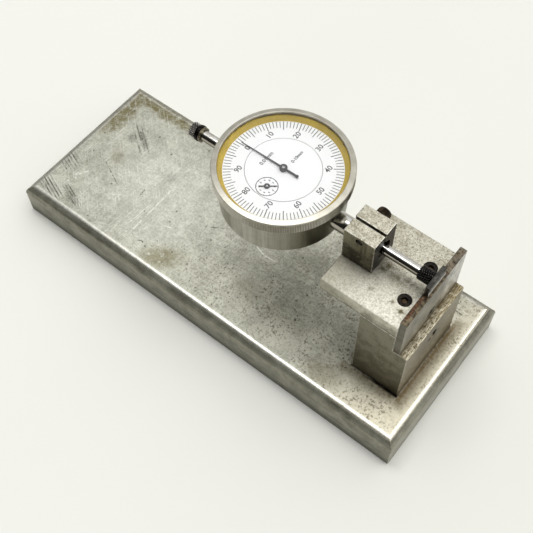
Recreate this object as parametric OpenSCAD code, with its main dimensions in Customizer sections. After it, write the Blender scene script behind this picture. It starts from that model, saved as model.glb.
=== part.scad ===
// Bench gauge: a dial indicator held by its stem in a split clamp, on a riser that stands on a
// heavy base plate. Work is pushed against the fence, and the blade on the spindle feels it.
// Millimetres, +Z up. The origin is at the middle of the base's underside, +X towards the riser.

/* [Base] */
// Length of the base plate
base_l = 217.5; // [200:0.5:260]
// Width of the base plate
base_w = 84; // [70:0.5:110]
// Thickness of the base plate
base_t = 18.4; // [15:0.1:24]
// Radius of the base's rounded top edges
base_edge_r = 5; // [1:0.1:6]

/* [Riser] */
// Distance of the riser's outer face from the end of the base
riser_inset = 11.75; // [6:0.05:16]
// Length of the riser along the base
riser_l = 23.8; // [20:0.1:28]
// Width of the riser, of the plate on it and of the fence
riser_w = 42; // [34:0.5:60]
// Height of the riser above the base
riser_h = 47.6; // [40:0.1:60]
// Depth of the step that seats the fence
step_l = 6.75; // [5.5:0.05:9]
// Height of the step's wall
step_h = 11.5; // [9:0.1:15]
// Diameter of the stop bore in the riser's outer face
stop_bore_d = 6; // [3:0.1:8]
// Depth of the stop bore
stop_bore_l = 12; // [6:0.5:16]
// Drop of the stop bore's axis below the ledge
stop_bore_drop = 10.7; // [6:0.1:16]

/* [Fence] */
// Thickness of the fence
fence_t = 3.2; // [2.6:0.1:4.5]
// Height of the fence above the ledge
fence_h = 25; // [23:0.1:30]

/* [Top plate] */
// Thickness of the top plate
plate_t = 7.6; // [6:0.1:9]
// Length of the top plate that stands out over the base
plate_overhang = 19.35; // [17:0.05:24]
// Distance of the plate's screws from its outer end
plate_screw_inset = 5.1; // [4:0.1:7]
// Distance between the plate's two screws
plate_screw_pitch = 18; // [10:0.5:26]

/* [Clamp] */
// Length of the clamp block along the stem
clamp_l = 14.5; // [11:0.1:16]
// Width of the clamp block
clamp_w = 14.6; // [14:0.1:20]
// Height of the clamp block above the stem's axis
clamp_over = 9.2; // [8.6:0.1:12]
// Width of the slit
slit_w = 1; // [0.6:0.1:1.6]
// Drop of the clamp screw below the top of the block
clamp_screw_drop = 2.6; // [2:0.1:2.8]

/* [Screws] */
// Thread diameter of the small cap screws
small_d = 3; // [2:0.1:3.2]
// Head diameter of the small cap screws
small_head_d = 5.5; // [4:0.1:6]
// Head height of the small cap screws
small_head_h = 3; // [2:0.1:3.5]
// Thread diameter of the riser's screws
large_d = 5; // [4:0.1:6]
// Head diameter of the riser's screws
large_head_d = 8.5; // [7:0.1:10]
// Head height of the riser's screws
large_head_h = 5; // [4:0.1:6]
// Distance between the riser's two screws
large_pitch = 24; // [14:0.5:30]

/* [Case] */
// Length of the stem that shows between the clamp and the case
stem_show = 8; // [6:0.1:12]
// Outer diameter of the case
case_d = 52.6; // [50:0.1:54]
// Wall of the case
case_wall = 2.9; // [2.4:0.1:3.4]
// Depth of the case behind the stem's axis
case_below = 6.85; // [6.6:0.05:9]
// Height of the case in front of the stem's axis
case_above = 9.7; // [9.6:0.05:12]
// Thickness of the back cover
cover_t = 1.6; // [1:0.1:1.7]

/* [Bezel and dial] */
// Outer diameter of the bezel
bezel_d = 57; // [56:0.1:60]
// Length of the bezel's skirt over the case
bezel_lap = 1.3; // [1.2:0.1:2.5]
// Width of the bezel's rim seen from the front
rim_w = 2.5; // [2.3:0.1:4]
// Thickness of the rim's lip over the crystal
lip_t = 0.7; // [0.6:0.1:1.5]
// Thickness of the dial
dial_t = 1; // [0.6:0.1:1.4]
// Diameter of the dial's fixed middle
disc_d = 30.4; // [30:0.1:34]
// Diameter of the opening in the spacer ring
dial_opening_d = 48; // [44:0.1:50]
// Height of the spacer ring between dial and crystal
spacer_h = 1.7; // [1.6:0.1:3]
// Thickness of the crystal
crystal_t = 1.2; // [0.8:0.1:2]
// Length of the pointer from its axis to its tip
pointer_l = 21; // [15:0.1:22]
// Length of the counter hand from its axis to its tip
counter_l = 4; // [2:0.1:4.2]

/* [Stem and spindle] */
// Diameter of the stem
stem_d = 8; // [7.6:0.05:8.4]
// Distance of the stem's end inside the clamp's outer face
stem_set = 1.8; // [0.2:0.1:3]
// Diameter of the spindle in the stem
spindle_d = 4.4; // [4.2:0.1:5]
// Diameter of the spindle in the rear bushing
rear_spindle_d = 3.2; // [2.6:0.1:3.4]
// Outer diameter of the rear bushing
rear_bush_d = 4.8; // [4.4:0.1:6]
// Length of the rear bushing outside the case
rear_bush_l = 15.2; // [12:0.1:20]
// Travel of the spindle
travel = 10; // [5:0.1:10]
// Diameter of the lifting cap's flange
cap_d = 7.2; // [6:0.1:9]
// Diameter of the lifting cap's knurled grip
grip_d = 5.9; // [5:0.1:7]
// Length of the lifting cap
cap_l = 5.1; // [4:0.1:8]
// Length of the lifting cap's flange
flange_l = 1.9; // [1:0.1:3]
// Thickness of the stop ring in front of the cap
stop_ring_t = 1.1; // [0.4:0.1:1.6]

/* [Contact] */
// Diameter of the contact's collar
collar_d = 6.1; // [5.4:0.1:7]
// Length of the contact's collar
collar_l = 6; // [3:0.1:7]
// Thickness of the blade
blade_t = 2; // [1.2:0.1:2.3]
// Width of the blade
blade_w = 12; // [8:0.1:18]
// Height of the blade above the spindle's axis
blade_over = 3; // [1.5:0.1:4]
// Distance of the blade's face behind the fence's face
blade_set = 0.85; // [0.3:0.05:1]

/* [Movement] */
// Module of the wheels that drive the hands
gear_m = 0.19; // [0.185:0.001:0.2]
// Teeth of the two large wheels
wheel_n = 100; // [80:10:100]
// Teeth of the centre pinion
pinion_n = 10; // [8:1:12]
// Pitch of the rack
rack_pitch = 0.625; // [0.6:0.005:0.65]
// Teeth of the rack pinion
rack_pinion_n = 16; // [12:1:18]
// Thickness of the movement's plates
frame_t = 0.8; // [0.6:0.05:0.9]
// Thickness of the large wheels
wheel_t = 0.6; // [0.4:0.05:0.7]
// Radius of the arbors
arbor_r = 0.7; // [0.65:0.05:0.8]
// Radius of the pivots
pivot_r = 0.4; // [0.3:0.05:0.5]
// Diameter of the wire of the return spring
spring_wire_d = 0.4; // [0.3:0.05:0.5]
// Diameter of the return spring
spring_d = 3; // [2.4:0.1:3.2]
// Turns of the return spring
spring_turns = 18; // [10:1:22]

/* [Fits] */
// Radial clearance of what slides or turns in a bore
run_gap = 0.05; // [0.02:0.01:0.1]
// Gap between the bezel's pieces and the case
turn_gap = 0.1; // [0.05:0.01:0.1]
// Gap round a screw in a clearance hole
hole_gap = 0.2; // [0.1:0.05:0.3]
// Gap between the stop ring and the rear bushing at rest
stop_gap = 0.05; // [0.02:0.01:0.2]
// Gap between the collar and the top of the fence
contact_gap = 0.25; // [0.2:0.05:1]

/* [Hidden] */
$fn = 64;
tiny = 0.01;

// Heights and lengths of the stand
riser_top = base_t + riser_h;
ledge_z = riser_top - step_h;
riser_x1 = base_l / 2 - riser_inset;
riser_x = riser_x1 - riser_l;
step_x = riser_x1 - step_l;
fence_x1 = step_x + fence_t;
fence_top = ledge_z + fence_h;
plate_x0 = riser_x - plate_overhang;
plate_top = riser_top + plate_t;
axis_z = fence_top + contact_gap + collar_d / 2;
clamp_top = axis_z + clamp_over;
clamp_mid = plate_x0 + clamp_l / 2;
clamp_screw_z = clamp_top - clamp_screw_drop;
clamp_x1 = plate_x0 + clamp_l;

// Screws: grip is what the head stands on, bite is the length in the tapped hole
large_bite = 12;
large_sink = 0.6;
large_bore_h = large_head_h + large_sink;
riser_mid = riser_x + (riser_l - step_l) / 2;
small_bite = 8;
plate_grip = plate_t - small_head_h;
plate_screw_x = step_x - plate_screw_inset;
mount_bite = 6;
mount_set = 0.6;
mount_pitch = (stem_d + clamp_w) / 2 - mount_set;
fence_screw_z = ledge_z + step_h / 2;
fence_screw_sink = 1.7;
fence_screw_l = 10;
clamp_screw_tip = 0.5;
watch_d = 1.2;
watch_head_r = 1.1;
watch_head_h = 0.7;
watch_slot_w = 0.35;

// Heights of the case, dial and bezel
case_r = case_d / 2;
dial_x = plate_x0 - stem_show - case_r;
case_bore_r = case_r - case_wall;
case_back = axis_z - case_below;
case_top = axis_z + case_above;
cover_ledge = 1.6;
cover_r = case_bore_r + cover_ledge;
boss_r = 2;
boss_set = 1.2;
boss_ring_r = case_bore_r - boss_set;
boss_h = 4;
boss_floor = 1;
boss_angles = [45 : 90 : 315];
dial_z = case_top + turn_gap;
dial_top = dial_z + dial_t;
spacer_top = dial_top + spacer_h;
crystal_top = spacer_top + crystal_t;
bezel_top = crystal_top + lip_t;
bezel_z = case_top - bezel_lap;
bezel_r = bezel_d / 2;
bezel_bore_r = case_r + turn_gap;
lip_r = bezel_r - rim_w;
bezel_edge = 0.4;
snap_h = 0.4;
snap_drop = 0.75;
snap_z = case_top - snap_drop;
snap_depth = 0.55;
snap_proud = 0.45;
disc_r = disc_d / 2;
disc_foot_r = 0.8;
disc_foot_x = 8;
disc_foot_y = 7;
spacer_lap = 0.2;

// Stem, spindle and contact along X
stem_x = dial_x + case_bore_r;
stem_end = clamp_x1 - stem_set;
rear_x = dial_x - case_bore_r;
bush_end = dial_x - case_r - rear_bush_l;
stop_x = bush_end - stop_gap;
cap_x = stop_x - stop_ring_t - cap_l;
blade_x1 = fence_x1 - blade_set;
blade_x = blade_x1 - blade_t;
collar_x = blade_x - collar_l;
spindle_r = spindle_d / 2;
stud_d = 2.5;
stud_l = 5;
cap_stud_d = 1.5;
cap_stud_l = 4;
cap_edge = 0.4;
collar_edge = 0.3;
ring_set = 0.3;

// Gear train: both large wheels mesh with the centre pinion
wheel_r = wheel_n * gear_m / 2;
mesh_l = (wheel_n + pinion_n) * gear_m / 2;
rack_m = rack_pitch / PI;
rack_pinion_r = rack_pinion_n * rack_m / 2;
pressure = 20;
addendum = 0.8;
dedendum = 1.15;
tooth_share = 1.25;
rack_depth = 0.5;
rack_y = rack_depth - spindle_r;
rack_arbor_y = rack_y - rack_pinion_r;
rack_arbor_x = dial_x - sqrt(mesh_l * mesh_l - rack_arbor_y * rack_arbor_y);
counter_y = -mesh_l;
rack_side = atan2(rack_arbor_y, rack_arbor_x - dial_x);
pinion_gap_step = 360 / pinion_n;
counter_gap = rack_side + pinion_gap_step * round((270 - 360 - rack_side) / pinion_gap_step) + 360;
counter_phase = 90 - (counter_gap - 270) * pinion_n / wheel_n;
rack_margin = 1.9;
rack_x0 = rack_arbor_x - rack_margin;
rack_x1 = rack_arbor_x + travel + rack_margin;
shoulder_l = 0.7;
rear_shoulder = rack_x0 - shoulder_l;
rack_pinion_h = 3.2;

// Heights in the movement
spindle_room = 0.6;
main_z = axis_z + spindle_r + spindle_room;
main_top = main_z + frame_t;
main_set = 0.5;
main_r = case_bore_r - main_set;
shelf_w = 3;
shelf_h = 1.2;
wheel_gap = 0.2;
wheel_step = 0.6;
hairspring_gap = 0.4;
upper_gap = 0.5;
upper_set = 2.4;
rack_wheel_z = main_top + watch_head_h + wheel_gap;
counter_wheel_z = rack_wheel_z + wheel_t + wheel_step;
hairspring_z = counter_wheel_z + wheel_t + hairspring_gap;
hairspring_h = 0.4;
upper_z = hairspring_z + hairspring_h + upper_gap;
upper_top = upper_z + frame_t;
upper_r = case_bore_r - upper_set;
pillar_r = 1.4;
pillar_ring_r = 19;
pillar_angles = [30, 150, 234, 320];
main_screw_set = 1.2;
main_screw_r = main_r - main_screw_set;
main_screw_angles = [60, 165, 285];
main_screw_bite = 1;
pillar_bite = 1.6;
hub_r = 1.6;
hub_gap = 0.35;
hub_z = dial_top + hub_gap;
hub_h = 1;
hand_rise = 0.3;
hand_z = hub_z + hand_rise;
hand_t = 0.25;
pointer_root_w = 0.9;
pointer_tip_w = 0.3;
pointer_tail = 6.6;
pointer_tail_r = 0.7;
counter_hub_r = 1.2;
counter_hub_gap = 0.1;
counter_hub_z = dial_top + counter_hub_gap;
counter_hub_h = 0.4;
counter_hand_rise = 0.1;
counter_hand_z = counter_hub_z + counter_hand_rise;
counter_hand_t = 0.15;
counter_root_w = 0.55;
counter_tip_w = 0.3;
counter_tail = 3;
counter_angle = 38;
counter_shoulder = 0.2;
seat_r = 0.6;
centre_room = 0.4;
cock_drop = 2.2;
cock_z = axis_z - spindle_r - cock_drop;
cock_t = 1;
cock_post_r = 1.2;
cock_post_x = 4;
cock_reach = 5;
cock_post_y = rack_arbor_y - cock_reach;

// Guide and return spring, on the far side of the spindle from the rack
guide_lead = 4;
guide_x = rack_arbor_x + guide_lead;
guide_pin_d = 1;
guide_side = 4.7;
guide_y0 = spindle_r + guide_side;
guide_w = 1.6;
guide_pin_root = 0.4;
guide_margin = 1.6;
spring_side = 3.1;
spring_y = spindle_r + spring_side;
spring_post_r = 0.6;
spring_post_drop = 1;
spring_l = 22;
spring_x1 = guide_x + spring_l;
spring_seat_gap = 0.1;
spring_rings = 8;
spring_sides = 6;
hairspring_turns = 5;
hairspring_strip = 0.14;
collet_r = 1.2;
hairspring_r = 5;
hairspring_stud_r = 0.4;
hairspring_steps = 24;

// A cap screw standing on z = 0 with its head above, and its hexagon socket
module cap_screw(d, head_d, head_h, length) {
    difference() {
        union() {
            cylinder(d = head_d, h = head_h);
            translate([0, 0, -length]) cylinder(d = d, h = length + tiny);
        }
        translate([0, 0, head_h / 2]) cylinder(d = 0.95 * d, h = head_h, $fn = 6);
    }
}

// The room that a cap screw needs: a counterbore for its head and a hole round its shank
module cap_screw_room(d, head_d, depth, length) {
    cylinder(d = head_d + 2 * hole_gap, h = depth + tiny);
    translate([0, 0, -length]) cylinder(d = d + 2 * hole_gap, h = length + tiny);
}

// A slotted watch screw standing on z = 0
module watch_screw(length) {
    difference() {
        union() {
            cylinder(r = watch_head_r, h = watch_head_h);
            translate([0, 0, -length]) cylinder(d = watch_d, h = length + tiny);
        }
        translate([0, 0, watch_head_h])
            cube([3 * watch_head_r, watch_slot_w, watch_head_h], center = true);
    }
}

// Sends its children to the dial's axis
module at_dial(z = 0) {
    translate([dial_x, 0, z]) children();
}

// Sends its children round the dial's axis
module around_dial(r, angles, z) {
    for (a = angles) {
        at_dial(z) translate([r * cos(a), r * sin(a), 0]) children();
    }
}

// A cylinder along +X on the spindle's axis
module along_x(x0, x1, r) {
    translate([x0, 0, axis_z]) rotate([0, 90, 0]) cylinder(r = r, h = x1 - x0);
}

// A plain ring round the dial's axis
module ring(z0, h, r_in, r_out) {
    at_dial(z0) difference() {
        cylinder(r = r_out, h = h);
        translate([0, 0, -tiny]) cylinder(r = r_in, h = h + 2 * tiny);
    }
}

// An outline with its two upper corners rounded, standing on y = 0
module rounded_top(w, h, r) {
    translate([-w / 2, 0]) square([w, h - r]);
    translate([r - w / 2, 0]) square([w - 2 * r, h]);
    for (side = [-1, 1]) translate([side * (w / 2 - r), h - r]) circle(r);
}

// Involute of an angle, in degrees
function involute(a) = tan(a) * 180 / PI - a;

// Half of a tooth's width as an angle, at radius r
function tooth_half(n, m, r) =
    let (pitch_r = n * m / 2)
    let (base_r = pitch_r * cos(pressure))
    tooth_share * m / (2 * pitch_r) * 180 / PI + involute(pressure)
        - involute(acos(base_r / max(r, base_r)));

// Outline of a gear with a tooth pointing along +X
module gear_outline(n, m) {
    pitch_r = n * m / 2;
    flank = [pitch_r - dedendum * m, pitch_r, pitch_r + addendum * m];
    polygon([for (i = [0 : n - 1]) for (side = [-1, 1]) for (k = [0 : 2])
        let (r = flank[side < 0 ? k : 2 - k])
        let (a = 360 * i / n + side * tooth_half(n, m, r))
        r * [cos(a), sin(a)]]);
}

// Base plate: flat bar with its top edges rounded over, counterbored from below for the riser
module base_plate() {
    color([0.72, 0.71, 0.68]) difference() {
        intersection() {
            translate([-base_l / 2, 0, 0]) rotate([90, 0, 90])
                linear_extrude(base_l) rounded_top(base_w, base_t, base_edge_r);
            translate([0, base_w / 2, 0]) rotate([90, 0, 0])
                linear_extrude(base_w) rounded_top(base_l, base_t, base_edge_r);
        }
        at_riser_screws() cap_screw_room(large_d, large_head_d, large_bore_h, base_t);
    }
}

// Sends its children, head down, to the seats of the riser's two screws under the base
module at_riser_screws() {
    for (side = [-1, 1]) {
        translate([riser_mid, side * large_pitch / 2, large_bore_h]) rotate([180, 0, 0]) children();
    }
}

// Riser: block with a step along its outer edge, tapped from below and above
module riser_block() {
    color([0.74, 0.72, 0.67]) difference() {
        translate([riser_x, -riser_w / 2, base_t]) cube([riser_l, riser_w, riser_h]);
        translate([step_x, -riser_w / 2 - 1, ledge_z]) cube([step_l + 1, riser_w + 2, step_h + 1]);
        translate([riser_x1 - stop_bore_l, 0, ledge_z - stop_bore_drop]) rotate([0, 90, 0])
            cylinder(d = stop_bore_d, h = stop_bore_l + 1);
        for (side = [-1, 1]) {
            translate([riser_mid, side * large_pitch / 2, base_t - tiny])
                cylinder(d = large_d, h = large_bite + tiny);
            translate([plate_screw_x, side * plate_screw_pitch / 2, riser_top - small_bite])
                cylinder(d = small_d, h = small_bite + tiny);
        }
        translate([fence_x1 - fence_screw_l, 0, fence_screw_z]) rotate([0, 90, 0])
            cylinder(d = small_d, h = fence_screw_l);
    }
}

// Riser screws: two cap screws, heads sunk in the base's underside
module riser_screws() {
    color([0.16, 0.16, 0.17]) at_riser_screws()
        cap_screw(large_d, large_head_d, large_head_h, base_t - large_bore_h + large_bite);
}

// Top plate: bridges from the riser towards the dial and carries the clamp
module top_plate() {
    color([0.76, 0.74, 0.69]) difference() {
        translate([plate_x0, -riser_w / 2, riser_top]) cube([step_x - plate_x0, riser_w, plate_t]);
        at_plate_screws() cap_screw_room(small_d, small_head_d, small_head_h, plate_grip + 1);
        at_mount_screws() cap_screw_room(small_d, small_head_d, small_head_h, plate_grip + 1);
    }
}

// Sends its children to the seats of the plate's two screws
module at_plate_screws() {
    for (side = [-1, 1]) {
        translate([plate_screw_x, side * plate_screw_pitch / 2, plate_top - small_head_h]) children();
    }
}

// Sends its children, head down, to the seats of the clamp's two screws under the plate
module at_mount_screws() {
    for (side = [-1, 1]) {
        translate([clamp_mid, side * mount_pitch / 2, riser_top + small_head_h])
            rotate([180, 0, 0]) children();
    }
}

// Top plate screws: two black cap screws, flush with the plate
module top_plate_screws() {
    color([0.16, 0.16, 0.17]) at_plate_screws()
        cap_screw(small_d, small_head_d, small_head_h, plate_grip + small_bite);
}

// Fence: ground steel plate that stands in the riser's step
module fence_plate() {
    color([0.55, 0.54, 0.52]) difference() {
        translate([step_x, -riser_w / 2, ledge_z]) cube([fence_t, riser_w, fence_h]);
        fence_screw_form();
    }
}

// Outline of the countersunk screw, used for the screw and for its seat
module fence_screw_form() {
    translate([fence_x1, 0, fence_screw_z]) rotate([0, -90, 0]) rotate_extrude()
        polygon([[0, 0], [small_d / 2 + fence_screw_sink * 0.75, 0], [small_d / 2, fence_screw_sink],
                 [small_d / 2, fence_screw_l], [0, fence_screw_l]]);
}

// Fence screw: countersunk, flush with the fence's face, with a hexagon socket
module fence_screw() {
    color([0.2, 0.2, 0.21]) difference() {
        fence_screw_form();
        translate([fence_x1 - fence_screw_sink, 0, fence_screw_z]) rotate([0, 90, 0])
            cylinder(d = 0.7 * small_d, h = fence_screw_sink + 1, $fn = 6);
    }
}

// Clamp block: bored for the stem and slit from above, so that the screw draws it shut
module clamp_block() {
    color([0.7, 0.68, 0.62]) difference() {
        translate([plate_x0, -clamp_w / 2, plate_top]) cube([clamp_l, clamp_w, clamp_top - plate_top]);
        along_x(plate_x0 - 1, clamp_x1 + 1, stem_d / 2 + run_gap / 2);
        translate([plate_x0 - 1, -slit_w / 2, axis_z]) cube([clamp_l + 2, slit_w, clamp_over + 1]);
        translate([clamp_mid, clamp_w / 2 + 1, clamp_screw_z]) rotate([90, 0, 0])
            cylinder(d = small_d + 2 * run_gap, h = clamp_w + 2);
        for (side = [-1, 1]) {
            translate([clamp_mid, side * mount_pitch / 2, plate_top - tiny])
                cylinder(d = small_d, h = mount_bite + tiny);
        }
    }
}

// Clamp mount screws: two cap screws from below the plate
module clamp_mount_screws() {
    color([0.16, 0.16, 0.17]) at_mount_screws()
        cap_screw(small_d, small_head_d, small_head_h, plate_grip + mount_bite);
}

// Clamp screw: cap screw across the slit, head at the back, tip just inside the front face
module clamp_screw() {
    color([0.14, 0.14, 0.15]) translate([clamp_mid, clamp_w / 2 + run_gap, clamp_screw_z])
        rotate([-90, 0, 0])
            cap_screw(small_d, small_head_d, small_head_h, clamp_w + run_gap - clamp_screw_tip);
}

// Case: turned cup with a shelf for the movement, bosses for the back cover and a snap groove
module case_body() {
    color([0.7, 0.7, 0.69]) difference() {
        union() {
            ring(case_back, case_top - case_back, case_bore_r, case_r);
            difference() {
                ring(main_z - shelf_h, shelf_h, case_bore_r - shelf_w, case_bore_r + tiny);
                translate([dial_x - case_r, -spindle_r - spindle_room, main_z - shelf_h - 1])
                    cube([case_d, spindle_d + 2 * spindle_room, shelf_h + 2]);
            }
            intersection() {
                around_dial(boss_ring_r, boss_angles, case_back + cover_t) cylinder(r = boss_r, h = boss_h);
                at_dial(case_back) cylinder(r = case_bore_r + tiny, h = case_below);
            }
        }
        at_dial(case_back - 1) cylinder(r = cover_r, h = cover_t + 1);
        along_x(stem_x - shelf_w, dial_x + case_r + 1, stem_d / 2);
        along_x(dial_x - case_r - 1, rear_x + shelf_w, rear_bush_d / 2);
        around_dial(boss_ring_r, boss_angles, case_back)
            cylinder(d = watch_d, h = cover_t + boss_h - boss_floor);
        around_dial(main_screw_r, main_screw_angles, main_z - main_screw_bite)
            cylinder(d = watch_d, h = main_screw_bite + 1);
        ring(snap_z, snap_h, case_r - snap_depth, case_r + 1);
    }
}

// Back cover: flat disc let into the back of the case
module back_cover() {
    color([0.68, 0.68, 0.67]) difference() {
        at_dial(case_back) cylinder(r = cover_r, h = cover_t);
        around_dial(boss_ring_r, boss_angles, case_back - 1)
            cylinder(d = watch_d + hole_gap, h = cover_t + 2);
        around_dial(boss_ring_r, boss_angles, case_back - 1)
            cylinder(r = watch_head_r + hole_gap, h = watch_head_h + 1);
    }
}

// Back cover screws: four watch screws, heads flush with the cover
module back_cover_screws() {
    color([0.45, 0.45, 0.46])
        around_dial(boss_ring_r, boss_angles, case_back + watch_head_h)
            rotate([180, 0, 0]) watch_screw(cover_t - watch_head_h + boss_h - 1.5 * boss_floor);
}

// Stem: hardened tube pressed into the case, held in the clamp, guides the spindle
module stem() {
    color([0.8, 0.8, 0.81]) difference() {
        along_x(stem_x, stem_end, stem_d / 2);
        along_x(stem_x - 1, stem_end + 1, spindle_r + run_gap);
    }
}

// Rear bushing: long tube that guides the thin end of the spindle
module rear_bushing() {
    color([0.78, 0.78, 0.79]) difference() {
        along_x(bush_end, rear_x, rear_bush_d / 2);
        along_x(bush_end - 1, rear_x + 1, rear_spindle_d / 2 + run_gap);
    }
}

// Holes for the three arbors, in a plate of the movement
module arbor_holes(z, rack_r, centre_r, counter_r) {
    translate([rack_arbor_x, rack_arbor_y, z - 1]) cylinder(r = rack_r, h = frame_t + 2);
    at_dial(z - 1) cylinder(r = centre_r, h = frame_t + 2);
    translate([dial_x, counter_y, z - 1]) cylinder(r = counter_r, h = frame_t + 2);
}

// Main plate: brass disc screwed to the case's shelf, carries the lower pivots
module main_plate() {
    color([0.78, 0.62, 0.3]) difference() {
        at_dial(main_z) cylinder(r = main_r, h = frame_t);
        arbor_holes(main_z, arbor_r + hole_gap, pivot_r + run_gap, pivot_r + run_gap);
        around_dial(main_screw_r, main_screw_angles, main_z - 1) cylinder(d = watch_d, h = frame_t + 2);
        at_cock_posts(main_z - 1) cylinder(d = watch_d, h = frame_t + 2);
        translate([spring_x1, spring_y, main_z - 1]) cylinder(r = spring_post_r, h = frame_t + 2);
    }
}

// Upper plate: brass disc on four pillars, with the stud that holds the hairspring's outer end
module upper_plate() {
    color([0.78, 0.62, 0.3]) {
        difference() {
            at_dial(upper_z) cylinder(r = upper_r, h = frame_t);
            arbor_holes(upper_z, pivot_r + run_gap, arbor_r + run_gap, arbor_r + run_gap);
            around_dial(pillar_ring_r, pillar_angles, upper_z - 1) cylinder(d = watch_d, h = frame_t + 2);
        }
        translate([dial_x + hairspring_r + hairspring_stud_r + hairspring_strip / 2, counter_y, hairspring_z])
            cylinder(r = hairspring_stud_r, h = upper_z - hairspring_z + tiny);
    }
}

// Pillars: four turned posts between the two plates
module pillars() {
    color([0.75, 0.6, 0.3]) difference() {
        around_dial(pillar_ring_r, pillar_angles, main_top) cylinder(r = pillar_r, h = upper_z - main_top);
        around_dial(pillar_ring_r, pillar_angles, upper_z - pillar_bite)
            cylinder(d = watch_d, h = pillar_bite + tiny);
    }
}

// Movement screws: the watch screws of the pillars, the main plate and the cock
module movement_screws() {
    color([0.4, 0.42, 0.5]) {
        around_dial(pillar_ring_r, pillar_angles, upper_top) watch_screw(frame_t + pillar_bite);
        around_dial(main_screw_r, main_screw_angles, main_top) watch_screw(frame_t + main_screw_bite);
        at_cock_posts(main_top) watch_screw(frame_t + pillar_bite);
    }
}

// Sends its children to the cock's two posts
module at_cock_posts(z) {
    for (side = [-1, 1]) {
        translate([rack_arbor_x + side * cock_post_x, cock_post_y, z]) children();
    }
}

// Lower cock: bridge on two posts under the main plate, holds the rack arbor's lower pivot
module lower_cock() {
    color([0.76, 0.6, 0.3]) difference() {
        union() {
            translate([rack_arbor_x - cock_post_x - cock_post_r, cock_post_y - cock_post_r, cock_z])
                cube([2 * (cock_post_x + cock_post_r), rack_arbor_y - cock_post_y + 2 * cock_post_r, cock_t]);
            at_cock_posts(cock_z) cylinder(r = cock_post_r, h = main_z - cock_z);
        }
        translate([rack_arbor_x, rack_arbor_y, cock_z - 1]) cylinder(r = pivot_r + run_gap, h = cock_t + 2);
        at_cock_posts(main_z - pillar_bite) cylinder(d = watch_d, h = pillar_bite + 1);
    }
}

// Guide rail: slotted bar under the main plate that keeps the spindle from turning
module guide_rail() {
    slot_half = guide_pin_d / 2 + run_gap;
    color([0.6, 0.6, 0.6]) difference() {
        translate([guide_x - travel - guide_margin, guide_y0, axis_z - guide_margin])
            cube([travel + 2 * guide_margin, guide_w, main_z - axis_z + guide_margin]);
        translate([guide_x - travel - slot_half, guide_y0 - 1, axis_z - slot_half])
            cube([travel + 2 * slot_half, guide_w + 2, 2 * slot_half]);
    }
}

// Spring post: steel pin in the main plate that holds the return spring's fixed end
module spring_post() {
    color([0.5, 0.5, 0.52]) translate([spring_x1, spring_y, axis_z - spring_post_drop])
        cylinder(r = spring_post_r, h = main_top - axis_z + spring_post_drop);
}

// Ring of points round the spring's wire after t turns, on a wire that runs along the helix
function coil_ring(t, x0, pitch) =
    let (r = (spring_d - spring_wire_d) / 2)
    let (out = [0, cos(360 * t), sin(360 * t)])
    [for (k = [0 : spring_sides - 1])
        let (a = 360 * k / spring_sides)
        let (around = cos(a) * out + sin(a) * [1, 0, 0])
        [x0 + pitch * t, spring_y, axis_z] + r * out + spring_wire_d / 2 * around];

// Return spring: close-wound wire between the guide pin and the post, pulls the spindle out
module return_spring() {
    end_gap = spring_seat_gap + spring_wire_d / 2;
    x0 = guide_x + guide_pin_d / 2 + end_gap;
    pitch = (spring_x1 - spring_post_r - end_gap - x0) / spring_turns;
    rings = spring_turns * spring_rings;
    points = [for (i = [0 : rings]) each coil_ring(i / spring_rings, x0, pitch)];
    sides = [for (i = [0 : rings - 1]) for (k = [0 : spring_sides - 1])
        let (a = i * spring_sides + k)
        let (b = i * spring_sides + (k + 1) % spring_sides)
        each [[a, b, b + spring_sides], [a, b + spring_sides, a + spring_sides]]];
    first = [for (k = [1 : spring_sides - 2]) [0, k + 1, k]];
    last = [for (k = [1 : spring_sides - 2]) [0, k, k + 1] + rings * spring_sides * [1, 1, 1]];
    turn = spring_rings * spring_sides;
    echo(least_spring_gap = min([for (i = [0 : len(points) - 1 - turn])
        norm(points[i + turn] - points[i])]) - spring_wire_d);
    color([0.6, 0.6, 0.62]) polyhedron(points, concat(sides, first, last));
}

// One point of the hairspring's spiral, offset from its middle line
function spiral_point(t, off) =
    let (r = collet_r + hairspring_strip / 2 + (hairspring_r - collet_r - hairspring_strip / 2) * t + off)
    r * [cos(360 * hairspring_turns * t), sin(360 * hairspring_turns * t)];

// Hairspring: flat spiral from the collet to the stud, takes up the play in the teeth
module hairspring() {
    n = hairspring_turns * hairspring_steps;
    half = hairspring_strip / 2;
    color([0.45, 0.5, 0.65]) translate([dial_x, counter_y, hairspring_z]) linear_extrude(hairspring_h)
        polygon(concat([for (i = [0 : n]) spiral_point(i / n, half)],
                       [for (i = [n : -1 : 0]) spiral_point(i / n, -half)]));
}

// Snap ring: wire ring in the case's groove, holds the bezel on and lets it turn
module bezel_ring() {
    color([0.6, 0.6, 0.6]) ring(snap_z, snap_h, case_r - snap_depth, case_r + snap_proud);
}

// Centre disc: fixed middle of the dial with the counter's scale, on two feet
module centre_disc() {
    color([0.95, 0.95, 0.94]) difference() {
        union() {
            at_dial(dial_z + turn_gap) cylinder(r = disc_r, h = dial_t - turn_gap);
            for (side = [-1, 1]) {
                at_dial(upper_top) translate([side * disc_foot_x, disc_foot_y, 0])
                    cylinder(r = disc_foot_r, h = dial_z - upper_top + 2 * turn_gap);
            }
        }
        at_dial(dial_z - 1) cylinder(r = arbor_r + centre_room, h = dial_t + 2);
        translate([dial_x, counter_y, dial_z - 1]) cylinder(r = arbor_r + hole_gap, h = dial_t + 2);
    }
}

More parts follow.
